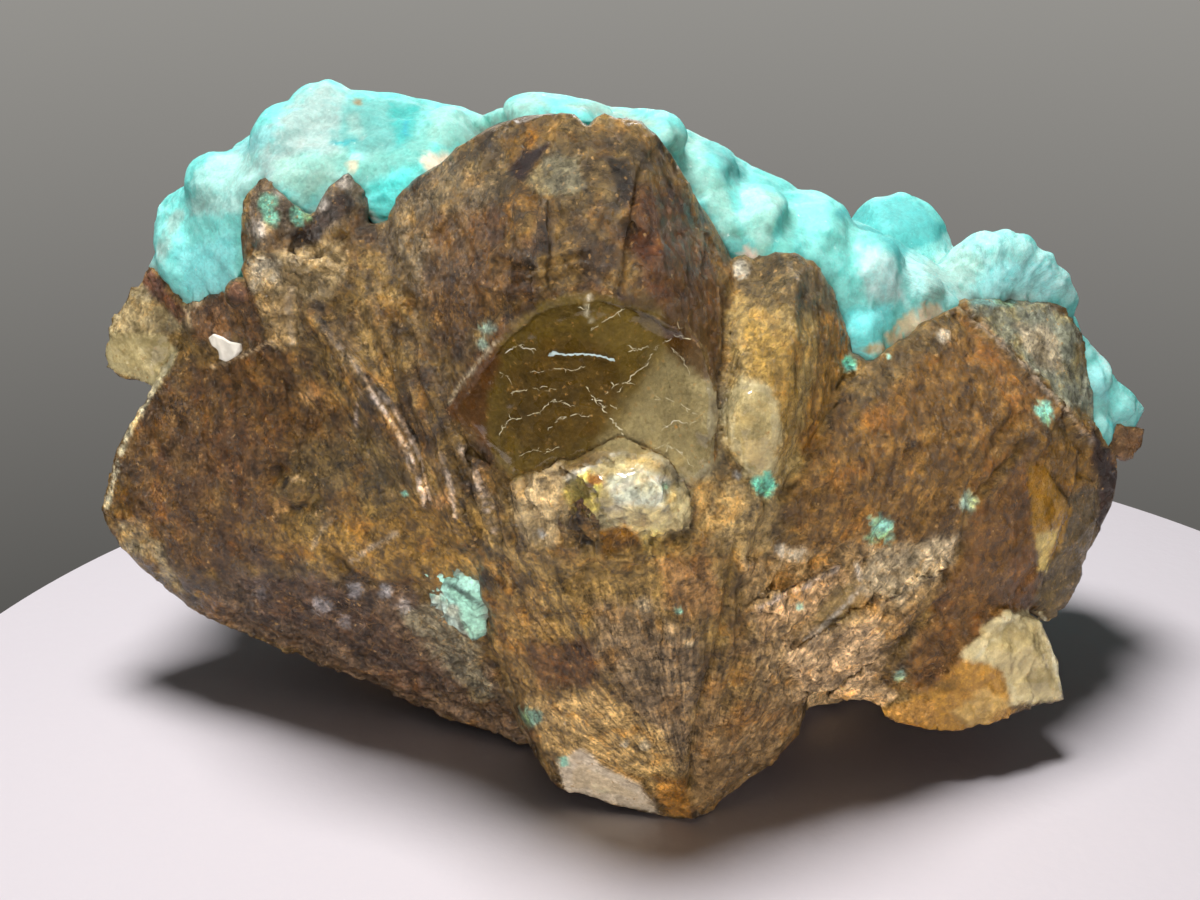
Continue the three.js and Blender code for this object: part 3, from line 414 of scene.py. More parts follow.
# Blue remnants of the crust and other small marks on the calcite: name, colour, radius in
# pixels, strength and the centre's pixel.
CALCITE_SPOTS = [
    ("blue", "#8fd8c4", 10, 0.95, (1045, 411)), ("blue", "#9adcc9", 13, 0.95, (881, 530)),
    ("blue", "#b9d9c4", 9, 0.9, (969, 501)), ("blue", "#7ad9bd", 12, 1, (766, 485)),
    ("blue", "#8fd0bb", 7, 0.9, (565, 761)), ("blue", "#7fae9b", 10, 0.85, (530, 716)),
    ("blue", "#a8cfc0", 7, 0.6, (488, 328)), ("blue", "#a8cfc0", 6, 0.6, (482, 344)),
    ("blue", "#79c5ab", 9, 0.85, (268, 203)), ("blue", "#79c5ab", 8, 0.8, (271, 217)),
    ("blue", "#7ec4ad", 9, 0.85, (300, 217)), ("blue", "#9fe0d0", 4, 0.9, (665, 487)),
    ("pale", "#bdb4a8", 9, 0.8, (259, 230)), ("pale", "#c4bbb0", 8, 0.8, (320, 203)),
    ("pale", "#b8b0a4", 8, 0.8, (344, 182)), ("pale", "#b3a79a", 7, 0.7, (283, 190)),
    ("blue", "#8fd8c4", 3, 0.9, (405, 493)), ("blue", "#9cdccc", 3, 0.8, (889, 357)),
    ("flake", "#a6a0a0", 8, 0.8, (355, 590)), ("flake", "#a8a3a2", 7, 0.8, (384, 592)),
    ("flake", "#9d9696", 9, 0.8, (322, 606)), ("flake", "#938988", 7, 0.7, (345, 622)),
    ("flake", "#8f8484", 8, 0.6, (262, 590)), ("flake", "#a29a94", 7, 0.7, (405, 606)),
    ("pale", "#cdb68f", 8, 0.8, (645, 604)), ("pale", "#cbb48c", 6, 0.7, (688, 642)),
    ("pale", "#d3c5ae", 6, 0.8, (783, 551)), ("pale", "#cdbfa6", 9, 0.7, (795, 553)),
    ("pale", "#d0c0a0", 6, 0.7, (645, 745)), ("pale", "#d8ccb4", 4, 0.9, (625, 744)),
    ("tan", "#b98d5c", 9, 0.7, (442, 502)), ("tan", "#a98457", 10, 0.7, (312, 392)),
    # The dark spot at (276, 469) is painted shade in the pit beside the knob.
    ("tan", "#b08752", 8, 0.7, (282, 506)), ("dark", "#2c1f16", 6, 0.9, (276, 469)),
    ("blue", "#97cdbb", 4, 0.8, (800, 607)), ("blue", "#8fd0bb", 3, 0.8, (679, 611)),
    ("blue", "#9fcdbb", 6, 0.7, (900, 676)), ("grey", "#b0b2b4", 5, 0.7, (738, 476)),
    ("grey", "#b6bcc0", 5, 0.8, (540, 533)), ("pale", "#d8ceb8", 7, 0.7, (944, 336)),
    ("amber", "#a8691d", 8, 0.95, (593, 478)), ("crust", "#5cb8ac", 7, 1, (850, 363)),
    ("cream", "#d6cfba", 9, 1, (742, 270)), ("dull", "#6b4a36", 10, 0.9, (240, 294)),
    ("blue", "#79c5ab", 9, 0.85, (298, 214)), ("knob", "#7a5e30", 8, 0.8, (298, 493)),
]

# The crust's front, painted the same way as the calcite's.
CRUST_AREAS = [
    ("left slab", "#90ece5", 12, 0.9, 0.8, 0, [
        (156, 205), (240, 205), (240, 300), (185, 305), (150, 250)]),
    ("left slab deep", "#95f1f1", 14, 0.8, 0.8, 0, [
        (175, 250), (235, 235), (232, 290), (190, 300)]),
    ("left slab pale", "#a1c3bb", 8, 0.8, 0.8, 0, [
        (160, 250), (168, 215), (182, 212), (176, 238), (162, 262)]),
    ("left lump", "#a1d3cc", 10, 1, 0.75, 0, [
        (190, 215), (195, 175), (225, 148), (258, 148), (262, 190), (240, 212), (205, 216)]),
    ("back rim", "#86c2c2", 6, 0.9, 0.7, 0, [
        (232, 150), (258, 130), (284, 122), (280, 140), (246, 156)]),
    ("great lump", "#9ab9b4", 16, 1, 0.75, 0, [
        (262, 150), (300, 90), (326, 80), (352, 92), (345, 150), (330, 180), (280, 190),
        (255, 175)]),
    ("great lump lower", "#9fd2c5", 14, 0.8, 0.8, 0, [
        (280, 160), (345, 150), (345, 180), (300, 200), (275, 185)]),
    ("turquoise pocket", "#62a59f", 16, 0.9, 0.75, 0, [
        (340, 100), (390, 96), (424, 102), (412, 150), (365, 160), (335, 140)]),
    ("turquoise pocket deep", "#30a9a4", 10, 0.8, 0.75, 0, [
        (392, 106), (418, 106), (416, 140), (396, 150)]),
    ("pocket pale", "#8bb3ab", 9, 0.8, 0.8, 0, [(345, 112), (365, 115), (362, 138), (348, 132)]),
    ("middle pale", "#70b2a7", 14, 0.8, 0.8, 0, [
        (330, 160), (400, 150), (430, 110), (450, 120), (420, 170), (350, 190)]),
    ("middle deep", "#67ece7", 12, 0.9, 0.8, 0, [
        (355, 195), (400, 165), (420, 165), (400, 215), (370, 226)]),
    ("over the peak left", "#91c4b9", 12, 0.85, 0.8, 0, [
        (430, 105), (480, 112), (525, 92), (560, 100), (500, 130), (450, 150), (432, 140)]),
    ("over the peak right", "#97afa2", 10, 0.85, 0.8, 0, [
        (560, 100), (620, 106), (660, 125), (640, 130), (610, 118), (580, 112)]),
    ("right slope", "#95cabe", 14, 0.9, 0.75, 0, [
        (650, 122), (700, 135), (730, 190), (745, 240), (720, 240), (690, 180)]),
    ("right dome", "#6aaeaa", 10, 0.9, 0.7, 0, [
        (698, 128), (735, 150), (750, 182), (728, 182), (706, 155)]),
    ("pale slab", "#a1dbd0", 8, 1, 0.8, 0, [
        (742, 190), (765, 188), (785, 200), (768, 250), (745, 240), (738, 215)]),
    ("recess", "#7ac7bb", 6, 0.85, 0.85, 0, [(784, 206), (800, 212), (792, 255), (776, 252)]),
    ("right mass", "#8aded5", 18, 0.85, 0.75, 0, [
        (795, 190), (860, 210), (890, 250), (880, 300), (850, 330), (830, 290), (800, 245)]),
    ("right mass pale", "#e7f1f1", 14, 0.5, 0.8, 0, [
        (862, 250), (900, 250), (904, 300), (870, 306)]),
    ("right mass deep", "#85f1f1", 12, 0.9, 0.8, 0, [
        (842, 310), (890, 305), (880, 345), (850, 366), (844, 340)]),
    ("far dome", "#61bdbb", 8, 1, 0.6, 0, [
        (836, 214), (850, 200), (886, 192), (925, 206), (956, 240), (930, 262), (900, 268),
        (880, 240)]),
    ("fan", "#ace9e4", 10, 1, 0.8, 0, [
        (900, 262), (925, 245), (960, 230), (1000, 225), (1040, 242), (1075, 275), (1084, 300),
        (1060, 300), (1000, 296), (960, 300), (910, 300)]),
    ("fan pale", "#a8d0c6", 9, 0.8, 0.8, 0, [
        (925, 262), (965, 240), (985, 262), (965, 296), (925, 296)]),
    ("fan foot", "#a9f1f1", 8, 0.85, 0.8, 0, [
        (978, 285), (1000, 262), (1050, 262), (1062, 300), (990, 303)]),
    ("right strip", "#9beae3", 8, 0.9, 0.8, 0, [
        (1065, 340), (1090, 345), (1125, 390), (1148, 410), (1130, 425), (1120, 460), (1080, 400)]),
    ("strip pale", "#9ff1f1", 6, 0.8, 0.8, 0, [(1084, 368), (1104, 366), (1112, 405), (1096, 400)]),
    ("strip shade", "#5bf1f1", 5, 0.8, 0.85, 0, [
        (1108, 420), (1120, 425), (1124, 458), (1112, 440)]),
]
CRUST_LINES = [
    ("pocket crack", "#2fa3a8", 2, 0.9, [(333, 142), (344, 144), (356, 140)]),
    ("pocket crack", "#2a9aa6", 2, 0.9, [(405, 122), (406, 134)]),
    ("grey fibre", "#7f9a92", 1.6, 0.7, [(470, 140), (500, 118), (530, 104)]),
    ("grey fibre", "#86a098", 1.6, 0.7, [(478, 148), (512, 126), (548, 112)]),
    ("grey fibre", "#8aa39b", 1.6, 0.7, [(560, 104), (600, 112), (640, 124)]),
    ("grey fibre", "#8fa79f", 1.6, 0.6, [(530, 94), (545, 106), (552, 116)]),
    ("shadowed foot", "#3fa7a3", 3, 0.7, [(700, 215), (720, 245), (738, 262)]),
    # The fan gaps are painted shade in the grooves between the fan's fibres.
    ("fan gap", "#9fcfce", 3, 0.7, [(998, 292), (986, 262), (975, 238)]),
    ("fan gap", "#8ecbc9", 3, 0.8, [(1003, 292), (1003, 258), (1002, 232)]),
    ("fan gap", "#93cdcb", 3, 0.7, [(1010, 293), (1026, 262), (1034, 246)]),
    ("fan gap", "#93cdcb", 3, 0.7, [(1016, 295), (1045, 272), (1060, 262)]),
    ("fan gap", "#98d0cd", 3, 0.7, [(1020, 299), (1050, 290), (1074, 284)]),
]
CRUST_SPOTS = [
    ("cream", "#e6d8c0", 12, 1, (432, 164)), ("cream", "#e6d8c0", 8, 1, (446, 160)),
    ("cream", "#e2dccb", 10, 1, (748, 256)), ("cream", "#ddd6c4", 7, 0.9, (741, 268)),
    ("cream", "#cfc6a4", 14, 1, (912, 326)), ("cream", "#cbc09c", 11, 1, (894, 340)),
    ("ochre", "#bb9a58", 4, 0.7, (924, 314)), ("cream", "#d6cdae", 11, 1, (930, 314)),
    ("ochre", "#b98a3c", 5, 0.8, (870, 349)), ("cream", "#cfc09a", 7, 0.9, (880, 348)),
    ("cream", "#cfc2a4", 6, 0.8, (352, 166)), ("cream", "#dcdacb", 7, 0.9, (366, 216)),
    ("brown", "#8f7c56", 4, 0.9, (359, 102)), ("grime", "#4a5450", 7, 0.6, (975, 300)),
    ("grime", "#3d4442", 7, 0.7, (990, 301)), ("grime", "#454c49", 6, 0.6, (1008, 299)),
    ("blue deep", "#4abdbd", 7, 0.6, (380, 200)),
]
PATCH_AREAS = [
    ("blue top", "#b6ecdc", 6, 1, 0.8, 0, [
        (410, 572), (470, 576), (492, 590), (470, 612), (440, 600), (412, 590)]),
    ("blue rib", "#9ed2bc", 5, 0.9, 0.8, 0, [
        (450, 592), (484, 590), (486, 640), (470, 640), (460, 612)]),
    ("pale foot", "#c6ded2", 8, 0.9, 0.85, 0, [
        (415, 590), (445, 605), (462, 640), (440, 630), (420, 610)]),
]
PATCH_LINES = [
    ("dark seam", "#2f3833", 2.4, 0.8, [(448, 584), (466, 594), (480, 604)]),
    ("dark seam", "#2c332f", 2.4, 0.8, [(455, 632), (468, 642), (482, 640)]),
]
PATCH_SPOTS = [
    ("grime", "#3a4039", 5, 0.7, (430, 606)), ("grime", "#434a42", 4, 0.7, (446, 618)),
    ("grime", "#3a403a", 4, 0.7, (462, 626)), ("pale", "#cfd3c0", 5, 0.8, (438, 596)),
    ("pale", "#c9cfba", 5, 0.8, (452, 610)), ("grime", "#2e342f", 4, 0.7, (418, 600)),
]

# The window's outline in pixels.
WINDOW = [
    (500, 334), (520, 316), (548, 300), (585, 290), (620, 296), (655, 304), (690, 316), (712, 345),
    (718, 400), (716, 465), (692, 488), (655, 460), (610, 458), (560, 470), (516, 486), (489, 458),
    (466, 432), (448, 410), (464, 386), (482, 360),
]

# How much of the hollow behind the window is levelled, and the pane's thickness in millimetres.
WINDOW_LEVELLED = 0.85
PANE_THICKNESS = 0.6

# Other clear parts: name, thickness in millimetres and the outline's pixels.
CLEAR_PARTS = [
    ("clear_pale_block", 0.5, [
        (568, 482), (612, 459), (650, 464), (688, 490), (686, 526), (640, 538), (602, 526)]),
    ("clear_finger_face", 0.5, [
        (724, 405), (740, 380), (773, 386), (780, 430), (769, 480), (746, 476), (726, 440)]),
    ("clear_golden_block", 0.6, [
        (975, 650), (1005, 616), (1040, 616), (1064, 698), (1012, 706), (1000, 672)]),
    ("clear_golden_plate", 0.4, [
        (1030, 466), (1046, 474), (1068, 510), (1058, 546), (1043, 568), (1035, 540)]),
    ("clear_yellow_block", 0.6, [
        (106, 330), (136, 288), (174, 304), (176, 350), (154, 382), (108, 366)]),
    ("clear_foot_tip", 0.5, [(560, 764), (582, 754), (638, 786), (654, 808), (570, 791)]),
]

# Fractures are drawn in steps of so many pixels. This share of the steps is left out, and
# each strand ends in a tip of this radius in millimetres.
FRACTURE_STEP = 2.2
FRACTURE_GAPS = 0.16
FRACTURE_TIP = 0.01

# White fractures seen in the clear calcite of the window: half width in pixels, then the line.
FRACTURES = [
    (0.55, [(505, 353), (517, 345), (526, 348), (536, 350)]),
    (0.6, [(504, 424), (514, 419), (527, 416), (540, 412), (551, 401), (563, 402), (575, 406)]),
    (0.55, [(500, 436), (503, 425), (512, 418)]),
    (0.5, [(510, 393), (522, 390), (535, 388), (547, 386), (556, 390)]),
    (0.7, [(586, 386), (594, 398), (602, 408), (614, 422), (624, 436)]),
    (0.5, [(602, 408), (610, 404), (618, 409)]),
    (0.6, [(591, 330), (602, 322), (614, 314), (630, 304)]),
    (0.5, [(589, 300), (587, 312), (589, 322)]),
    (0.6, [(627, 345), (636, 350), (646, 346), (654, 349), (664, 341)]),
    (0.5, [(664, 341), (680, 336), (697, 342)]),
    (0.55, [(617, 392), (628, 382), (634, 373), (645, 366), (652, 352)]),
    (0.4, [(540, 372), (556, 368), (570, 370), (584, 368)]),
    (0.4, [(548, 430), (560, 418), (574, 414), (588, 416)]),
    (0.4, [(512, 384), (508, 376), (500, 372)]),
    (0.45, [(606, 394), (612, 386), (624, 382), (634, 384)]),
    (0.45, [(658, 300), (672, 312), (680, 330)]),
    (0.4, [(676, 352), (684, 362), (690, 376)]),
    (0.45, [(654, 400), (666, 398), (682, 404), (694, 414)]),
    (0.4, [(662, 430), (676, 420), (690, 424)]),
    (0.45, [(648, 452), (664, 444), (680, 452), (694, 470)]),
    (0.4, [(520, 456), (534, 450), (548, 452), (560, 446)]),
]

# The lint fibre's line and the flake's outline in pixels. The fibre's radius and its height over
# the pane are in millimetres.
FIBRE_RADIUS = 0.1
FIBRE_LIFT = 0.22
FIBRE = [(548, 356), (554, 353), (566, 355), (580, 354), (594, 355), (604, 357), (615, 361)]
FLAKE = [(208, 338), (214, 333), (222, 336), (230, 341), (240, 343), (241, 350), (234, 357),
         (226, 362), (219, 359), (218, 351), (212, 346)]


def linear(code):
    """An sRGB hex colour as linear red, green and blue."""
    parts = [int(code[i : i + 2], 16) / 255 for i in (1, 3, 5)]
    return [p / 12.92 if p <= 0.04045 else ((p + 0.055) / 1.055) ** 2.4 for p in parts]


def colour_property(name, code, description):
    """A colour setting, its default given as an sRGB hex value."""
    return bpy.props.FloatVectorProperty(
        name=name, description=description, subtype="COLOR", size=3, min=0, max=1,
        default=linear(code),
    )


def length_property(name, value, description):
    """A length setting, its default given in metres."""
    return bpy.props.FloatProperty(
        name=name, description=description, subtype="DISTANCE", unit="LENGTH", default=value
    )


# Smooth noise over a lattice of random slopes, the same in each run.
_random = np.random.RandomState(SEED)
LATTICE = _random.permutation(256)
SLOPES = _random.normal(size=(256, 3))
SLOPES /= np.linalg.norm(SLOPES, axis=1, keepdims=True)
SCATTER = _random.random_sample((256, 3))


def lattice_index(cell):
    """A row of the random tables for each cell of the lattice."""
    cell = cell & 255
    first = LATTICE[cell[:, 0]]
    second = LATTICE[(first + cell[:, 1]) & 255]
    return LATTICE[(second + cell[:, 2]) & 255]


def noise(points):
    """Smooth noise from about -1 to 1 at each point."""
    cell = np.floor(points).astype(np.int64)
    local = points - cell
    fade = local**3 * (local * (local * 6 - 15) + 10)
    total = np.zeros(len(points))
    for corner in product((0, 1), repeat=3):
        step = np.array(corner)
        weight = np.where(step, fade, 1 - fade).prod(1)
        total += weight * (SLOPES[lattice_index(cell + step)] * (local - step)).sum(1)
    return 1.6 * total


def layered(points, octaves=3, gain=0.5):
    """Noise with finer and finer layers added."""
    return sum(gain**i * noise(points * 2**i + 17.3 * i) for i in range(octaves))


def cells(points):
    """The distances to the two nearest scattered seeds and the nearest one's random value."""
    base = np.floor(points).astype(np.int64)
    near = np.full(len(points), 9.0)
    next_near = near.copy()
    value = np.zeros(len(points))
    for offset in product((-1, 0, 1), repeat=3):
        cell = base + np.array(offset)
        index = lattice_index(cell)
        distance = np.linalg.norm(cell + SCATTER[index] - points, axis=1)
        closer = distance < near
        next_near = np.where(closer, near, np.minimum(next_near, distance))
        value = np.where(closer, SCATTER[(index + 91) & 255, 0], value)
        near = np.where(closer, distance, near)
    return near, next_near, value


def ramp(low, high, x):
    """A smooth step from 0 at the low end to 1 at the high one."""
    t = np.clip((x - low) / (high - low), 0, 1)
    return t * t * (3 - 2 * t)


def pixels_of(points):
    """Where the front view shows each point."""
    away = points - EYE
    depth = away @ VIEW_AHEAD
    across = PICTURE_CENTRE[0] + FOCAL_PIXELS * (away @ VIEW_RIGHT) / depth
    down = PICTURE_CENTRE[1] - FOCAL_PIXELS * (away @ VIEW_UP) / depth
    return np.stack([across, down], 1)


def sight(pixel):
    """The direction from the eye through a pixel."""
    across, up = (pixel[0] - PICTURE_CENTRE[0]), (PICTURE_CENTRE[1] - pixel[1])
    ray = VIEW_AHEAD + (VIEW_RIGHT * across + VIEW_UP * up) / FOCAL_PIXELS
    return ray / np.linalg.norm(ray)


def line_distance(pixels, line):
    """How far each pixel lies from a line of points."""
    best = np.full(len(pixels), 1e9)
    line = np.array(line, float)
    for start, end in zip(line[:-1], line[1:]):
        run = end - start
        along = np.clip(((pixels - start) @ run) / (run @ run), 0, 1)
        best = np.minimum(best, np.linalg.norm(pixels - start - along[:, None] * run, axis=1))
    return best


def depth_inside(pixels, corners):
    """How far each pixel lies inside an outline, below zero outside it."""
    corners = np.array(corners, float)
    inside = np.zeros(len(pixels), bool)
    for a, b in zip(corners, np.roll(corners, -1, 0)):
        crosses = (a[1] > pixels[:, 1]) != (b[1] > pixels[:, 1])
        rise = b[1] - a[1] if b[1] != a[1] else 1e-9
        inside ^= crosses & (pixels[:, 0] < a[0] + (b[0] - a[0]) * (pixels[:, 1] - a[1]) / rise)
    distance = line_distance(pixels, [*corners, corners[0]])
    return np.where(inside, distance, -distance)


def outline_of(areas, name):
    """The corners of a named area."""
    return next(row[6] for row in areas if row[0] == name)


def strongest(pixels, rows):
    """The greatest strength that soft-edged regions give each pixel."""
    share = np.zeros(len(pixels))
    for strength, edge, corners in rows:
        inside = ramp(-edge / 2, edge / 2, depth_inside(pixels, corners))
        share = np.maximum(share, strength * inside)
    return share


def levelled(points, pixels, seen, corners, share):
    """Points brought along the line of sight to the surface round an outline."""
    depth = depth_inside(pixels, corners)
    reach = np.linalg.norm(points - EYE, axis=1)
    rim = np.flatnonzero((depth < -3) & (depth > -13) & (seen > 0.2))
    centre = np.array(corners, float).mean(0)

    def terms(at):
        across, down = ((pixels[at] - centre) / 20).T
        return np.stack([np.ones(len(at)), across, down, across * down, across**2, down**2], 1)

    fit = np.linalg.lstsq(terms(rim), reach[rim], rcond=None)[0]
    at = np.flatnonzero(depth > -3)
    target = terms(at) @ fit
    near = reach[at] < target + np.where(seen[at] > 0, 40, 14)
    at, target = at[near], target[near]
    moved = points.copy()
    back = (target - reach[at]) * share * ramp(-3, 2, depth[at]) * (reach[at] > target)
    moved[at] += (points[at] - EYE) / reach[at][:, None] * back[:, None]
    return moved


# Directions square to calcite's three cleavages, as they lie in the specimen.
CLEAVAGES = np.array([[0.8, 0.35, 0.48], [-0.62, 0.3, 0.72], [0.1, -0.75, 0.65]])


def blocks(points, size):
    """Broken calcite's steps: the height, about -1 to 1, and each block's random value."""
    turned = (points / size + 0.25 * layered(points / size / 2.2, 2)[:, None]) @ CLEAVAGES.T
    value = cells(turned * np.array([1.0, 0.7, 1.0]))[2]
    ledges = (turned[:, 0] * 1.3) % 1 + (turned[:, 1] * 1.1 + 0.3 * value) % 1
    return (value - 0.5) * 1.3 + 0.45 * (ledges - 1), value


def new_object(name, mesh):
    """An object in the scene around a mesh."""
    piece = bpy.data.objects.new(name, mesh)
    bpy.context.scene.collection.objects.link(piece)
    return piece


def merged_copy(node, name):
    """A copy of a CAD solid with its loose triangles joined."""
    shape = bmesh.new()
    shape.from_mesh(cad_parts[node].data)
    bmesh.ops.remove_doubles(shape, verts=shape.verts, dist=1e-6)
    mesh = bpy.data.meshes.new(name)
    shape.to_mesh(mesh)
    shape.free()
    return new_object(name, mesh)


def with_modifier(piece, kind, **settings):
    """Applies one modifier to a piece."""
    modifier = piece.modifiers.new(kind, kind)
    for key, value in settings.items():
        setattr(modifier, key, value)
    old = piece.data
    graph = bpy.context.evaluated_depsgraph_get()
    piece.data = bpy.data.meshes.new_from_object(piece.evaluated_get(graph))
    piece.modifiers.clear()
    bpy.data.meshes.remove(old)


def points_of(piece):
    """A piece's points in millimetres and their outward directions."""
    count = len(piece.data.vertices)
    points = np.empty(count * 3)
    normals = np.empty(count * 3)
    piece.data.vertices.foreach_get("co", points)
    piece.data.vertices.foreach_get("normal", normals)
    return points.reshape(-1, 3) / MM, normals.reshape(-1, 3)


def set_points(piece, points):
    """Moves a piece's points, kept inside the solids' box."""
    low, high = (np.array(corner) for corner in CAD_BOX)
    inside = np.clip(points * MM, low, high)
    piece.data.vertices.foreach_set("co", inside.ravel())
    piece.data.update()


def group_of(piece, name, weights):
    """A vertex group with one weight for each point, in sixteen steps."""
    group = piece.vertex_groups.new(name=name)
    steps = np.round(np.clip(weights, 0, 1) * 16).astype(int)
    for step in np.unique(steps):
        group.add(np.flatnonzero(steps == step).tolist(), step / 16, "REPLACE")
    return group


def thin_out(piece, limit, weights):
    """Brings a piece under a number of triangles, most where the weights are high."""
    triangles = sum(len(face.vertices) - 2 for face in piece.data.polygons)
    if triangles > limit:
        group_of(piece, "thin", weights)
        with_modifier(
            piece, "DECIMATE", ratio=limit / triangles, vertex_group="thin",
            use_collapse_triangulate=True,
        )
        piece.vertex_groups.clear()


def tree_of(piece):
    """A piece's surface for finding its nearest point or where a line of sight meets it."""
    graph = bpy.context.evaluated_depsgraph_get()
    return BVHTree.FromObject(piece, graph)


def on_surface(pixel, tree):
    """The point of a surface that the front view shows at a pixel."""
    hit = tree.ray_cast(Vector(EYE * MM), Vector(sight(pixel)))[0]
    return None if hit is None else np.array(hit) / MM


def seen_share(points, normals, tree):
    """How well the front view sees each point, from 0 to 1."""
    to_eye = EYE - points
    to_eye /= np.linalg.norm(to_eye, axis=1, keepdims=True)
    share = ramp(0.02, 0.22, (to_eye * normals).sum(1))
    for i in np.flatnonzero(share > 0):
        start = Vector((points[i] + 0.4 * normals[i]) * MM)
        if tree.ray_cast(start, Vector(to_eye[i]))[0] is not None:
            share[i] = 0
    return share


class Brush:
    """Paints colour, roughness and clearness on a piece's points."""

    def __init__(self, piece, base, rough):
        self.piece = piece
        self.points, self.normals = points_of(piece)
        self.pixels = pixels_of(self.points)
        self.seen = seen_share(self.points, self.normals, tree_of(piece))
        self.colour = np.array(base, float)
        self.rough = np.full(len(self.points), float(rough))
        self.clear = np.zeros(len(self.points))
        self.fibre = np.full(len(self.points), 0.3)
        self.broken = np.full(len(self.points), 0.15)
        self.calm = np.zeros(len(self.points))
        self.ragged = 0.7 * layered(self.points / 3.1, 3) + 0.45 * layered(self.points / 0.95, 2)
        self.crumbled = 0.6 * layered(self.points / 1.9, 3) + 0.6 * noise(self.points / 0.6)

    def blend(self, share, colour):
        """Mixes a colour in by a share for each point."""
        self.colour += share[:, None] * (np.array(colour) - self.colour)

    def lay(self, share, code, rough=None, clear=None):
        """Mixes a colour in, with its roughness and clearness."""
        self.blend(share, linear(code))
        if rough is not None:
            self.rough += share * (rough - self.rough)
        if clear is not None:
            self.clear += share * (clear - self.clear)

    def areas(self, rows):
        """Paints soft-edged areas with ragged rims."""
        for _, code, edge, strength, rough, clear, corners in rows:
            depth = depth_inside(self.pixels, corners) + self.ragged * min(edge, 14) * 0.8
            self.lay(self.seen * strength * ramp(-edge / 2, edge / 2, depth), code, rough, clear)

    def lines(self, rows):
        """Paints thin broken lines."""
        for _, code, width, strength, line in rows:
            distance = line_distance(self.pixels, line) + self.crumbled * width * 1.1
            share = ramp(width + 1.2, width - 1.2, distance) * ramp(0.5, 0.1, self.crumbled)
            self.lay(self.seen * strength * share, code)

    def spots(self, rows):
        """Paints round spots with crumbled rims."""
        for _, code, radius, strength, centre in rows:
            distance = np.linalg.norm(self.pixels - centre, axis=1)
            distance += self.crumbled * radius * 0.7
            share = self.seen * strength * ramp(radius * 1.2, radius * 0.6, distance)
            self.lay(share, code, 0.75, 0)

    def store(self, root):
        """Writes the paint and the grain, which runs out from a root, as the mesh's attributes."""
        mesh = self.piece.data
        away = self.points - root
        reach = np.linalg.norm(away, axis=1, keepdims=True)
        grain = away / reach * (60 + 0.1 * reach) * MM
        colour = np.concatenate([np.clip(self.colour, 0.002, 1), np.ones((len(self.points), 1))], 1)
        for name, kind, key, values in (
            ("paint", "FLOAT_COLOR", "color", colour),
            ("rough", "FLOAT", "value", self.rough),
            ("clear", "FLOAT", "value", self.clear),
            ("fibre", "FLOAT", "value", self.fibre),
            ("broken", "FLOAT", "value", self.broken),
            ("calm", "FLOAT", "value", self.calm),
            ("grain", "FLOAT_VECTOR", "vector", grain),
        ):
            attribute = mesh.attributes.new(name, kind, "POINT")
            attribute.data.foreach_set(key, np.ascontiguousarray(values, np.float32).ravel())


def add_node(tree, kind, settings=None, **links):
    """Adds a node, sets its own settings, and gives each named input a value, a socket or a node's
    first output."""
    node = tree.nodes.new(kind)
    for key, value in (settings or {}).items():
        setattr(node, key, value)
    for key, value in links.items():
        name = key.replace("_", " ")
        socket = node.inputs[int(name[1:])] if name[1:].isdigit() else node.inputs[name]
        if isinstance(value, bpy.types.Node):
            value = value.outputs[0]
        if isinstance(value, bpy.types.NodeSocket):
            tree.links.new(value, socket)
        else:
            socket.default_value = value
    return node


def new_material(name):
    """An empty material and its node tree."""
    material = bpy.data.materials.new(name)
    material.use_nodes = True
    material.node_tree.nodes.clear()
    return material, material.node_tree


# Settings of the nodes that sum, scale and mix.
TIMES = {"operation": "MULTIPLY"}
PLUS = {"operation": "ADD"}
MINUS = {"operation": "SUBTRACT"}
LARGER = {"operation": "MAXIMUM"}
SCALED = {"operation": "SCALE"}
NUMBERS = {"data_type": "FLOAT"}
COLOURS = {"data_type": "RGBA"}
MATHS, VECTORS, RANGE, MIX = (
    "ShaderNodeMath", "ShaderNodeVectorMath", "ShaderNodeMapRange", "ShaderNodeMix",
)


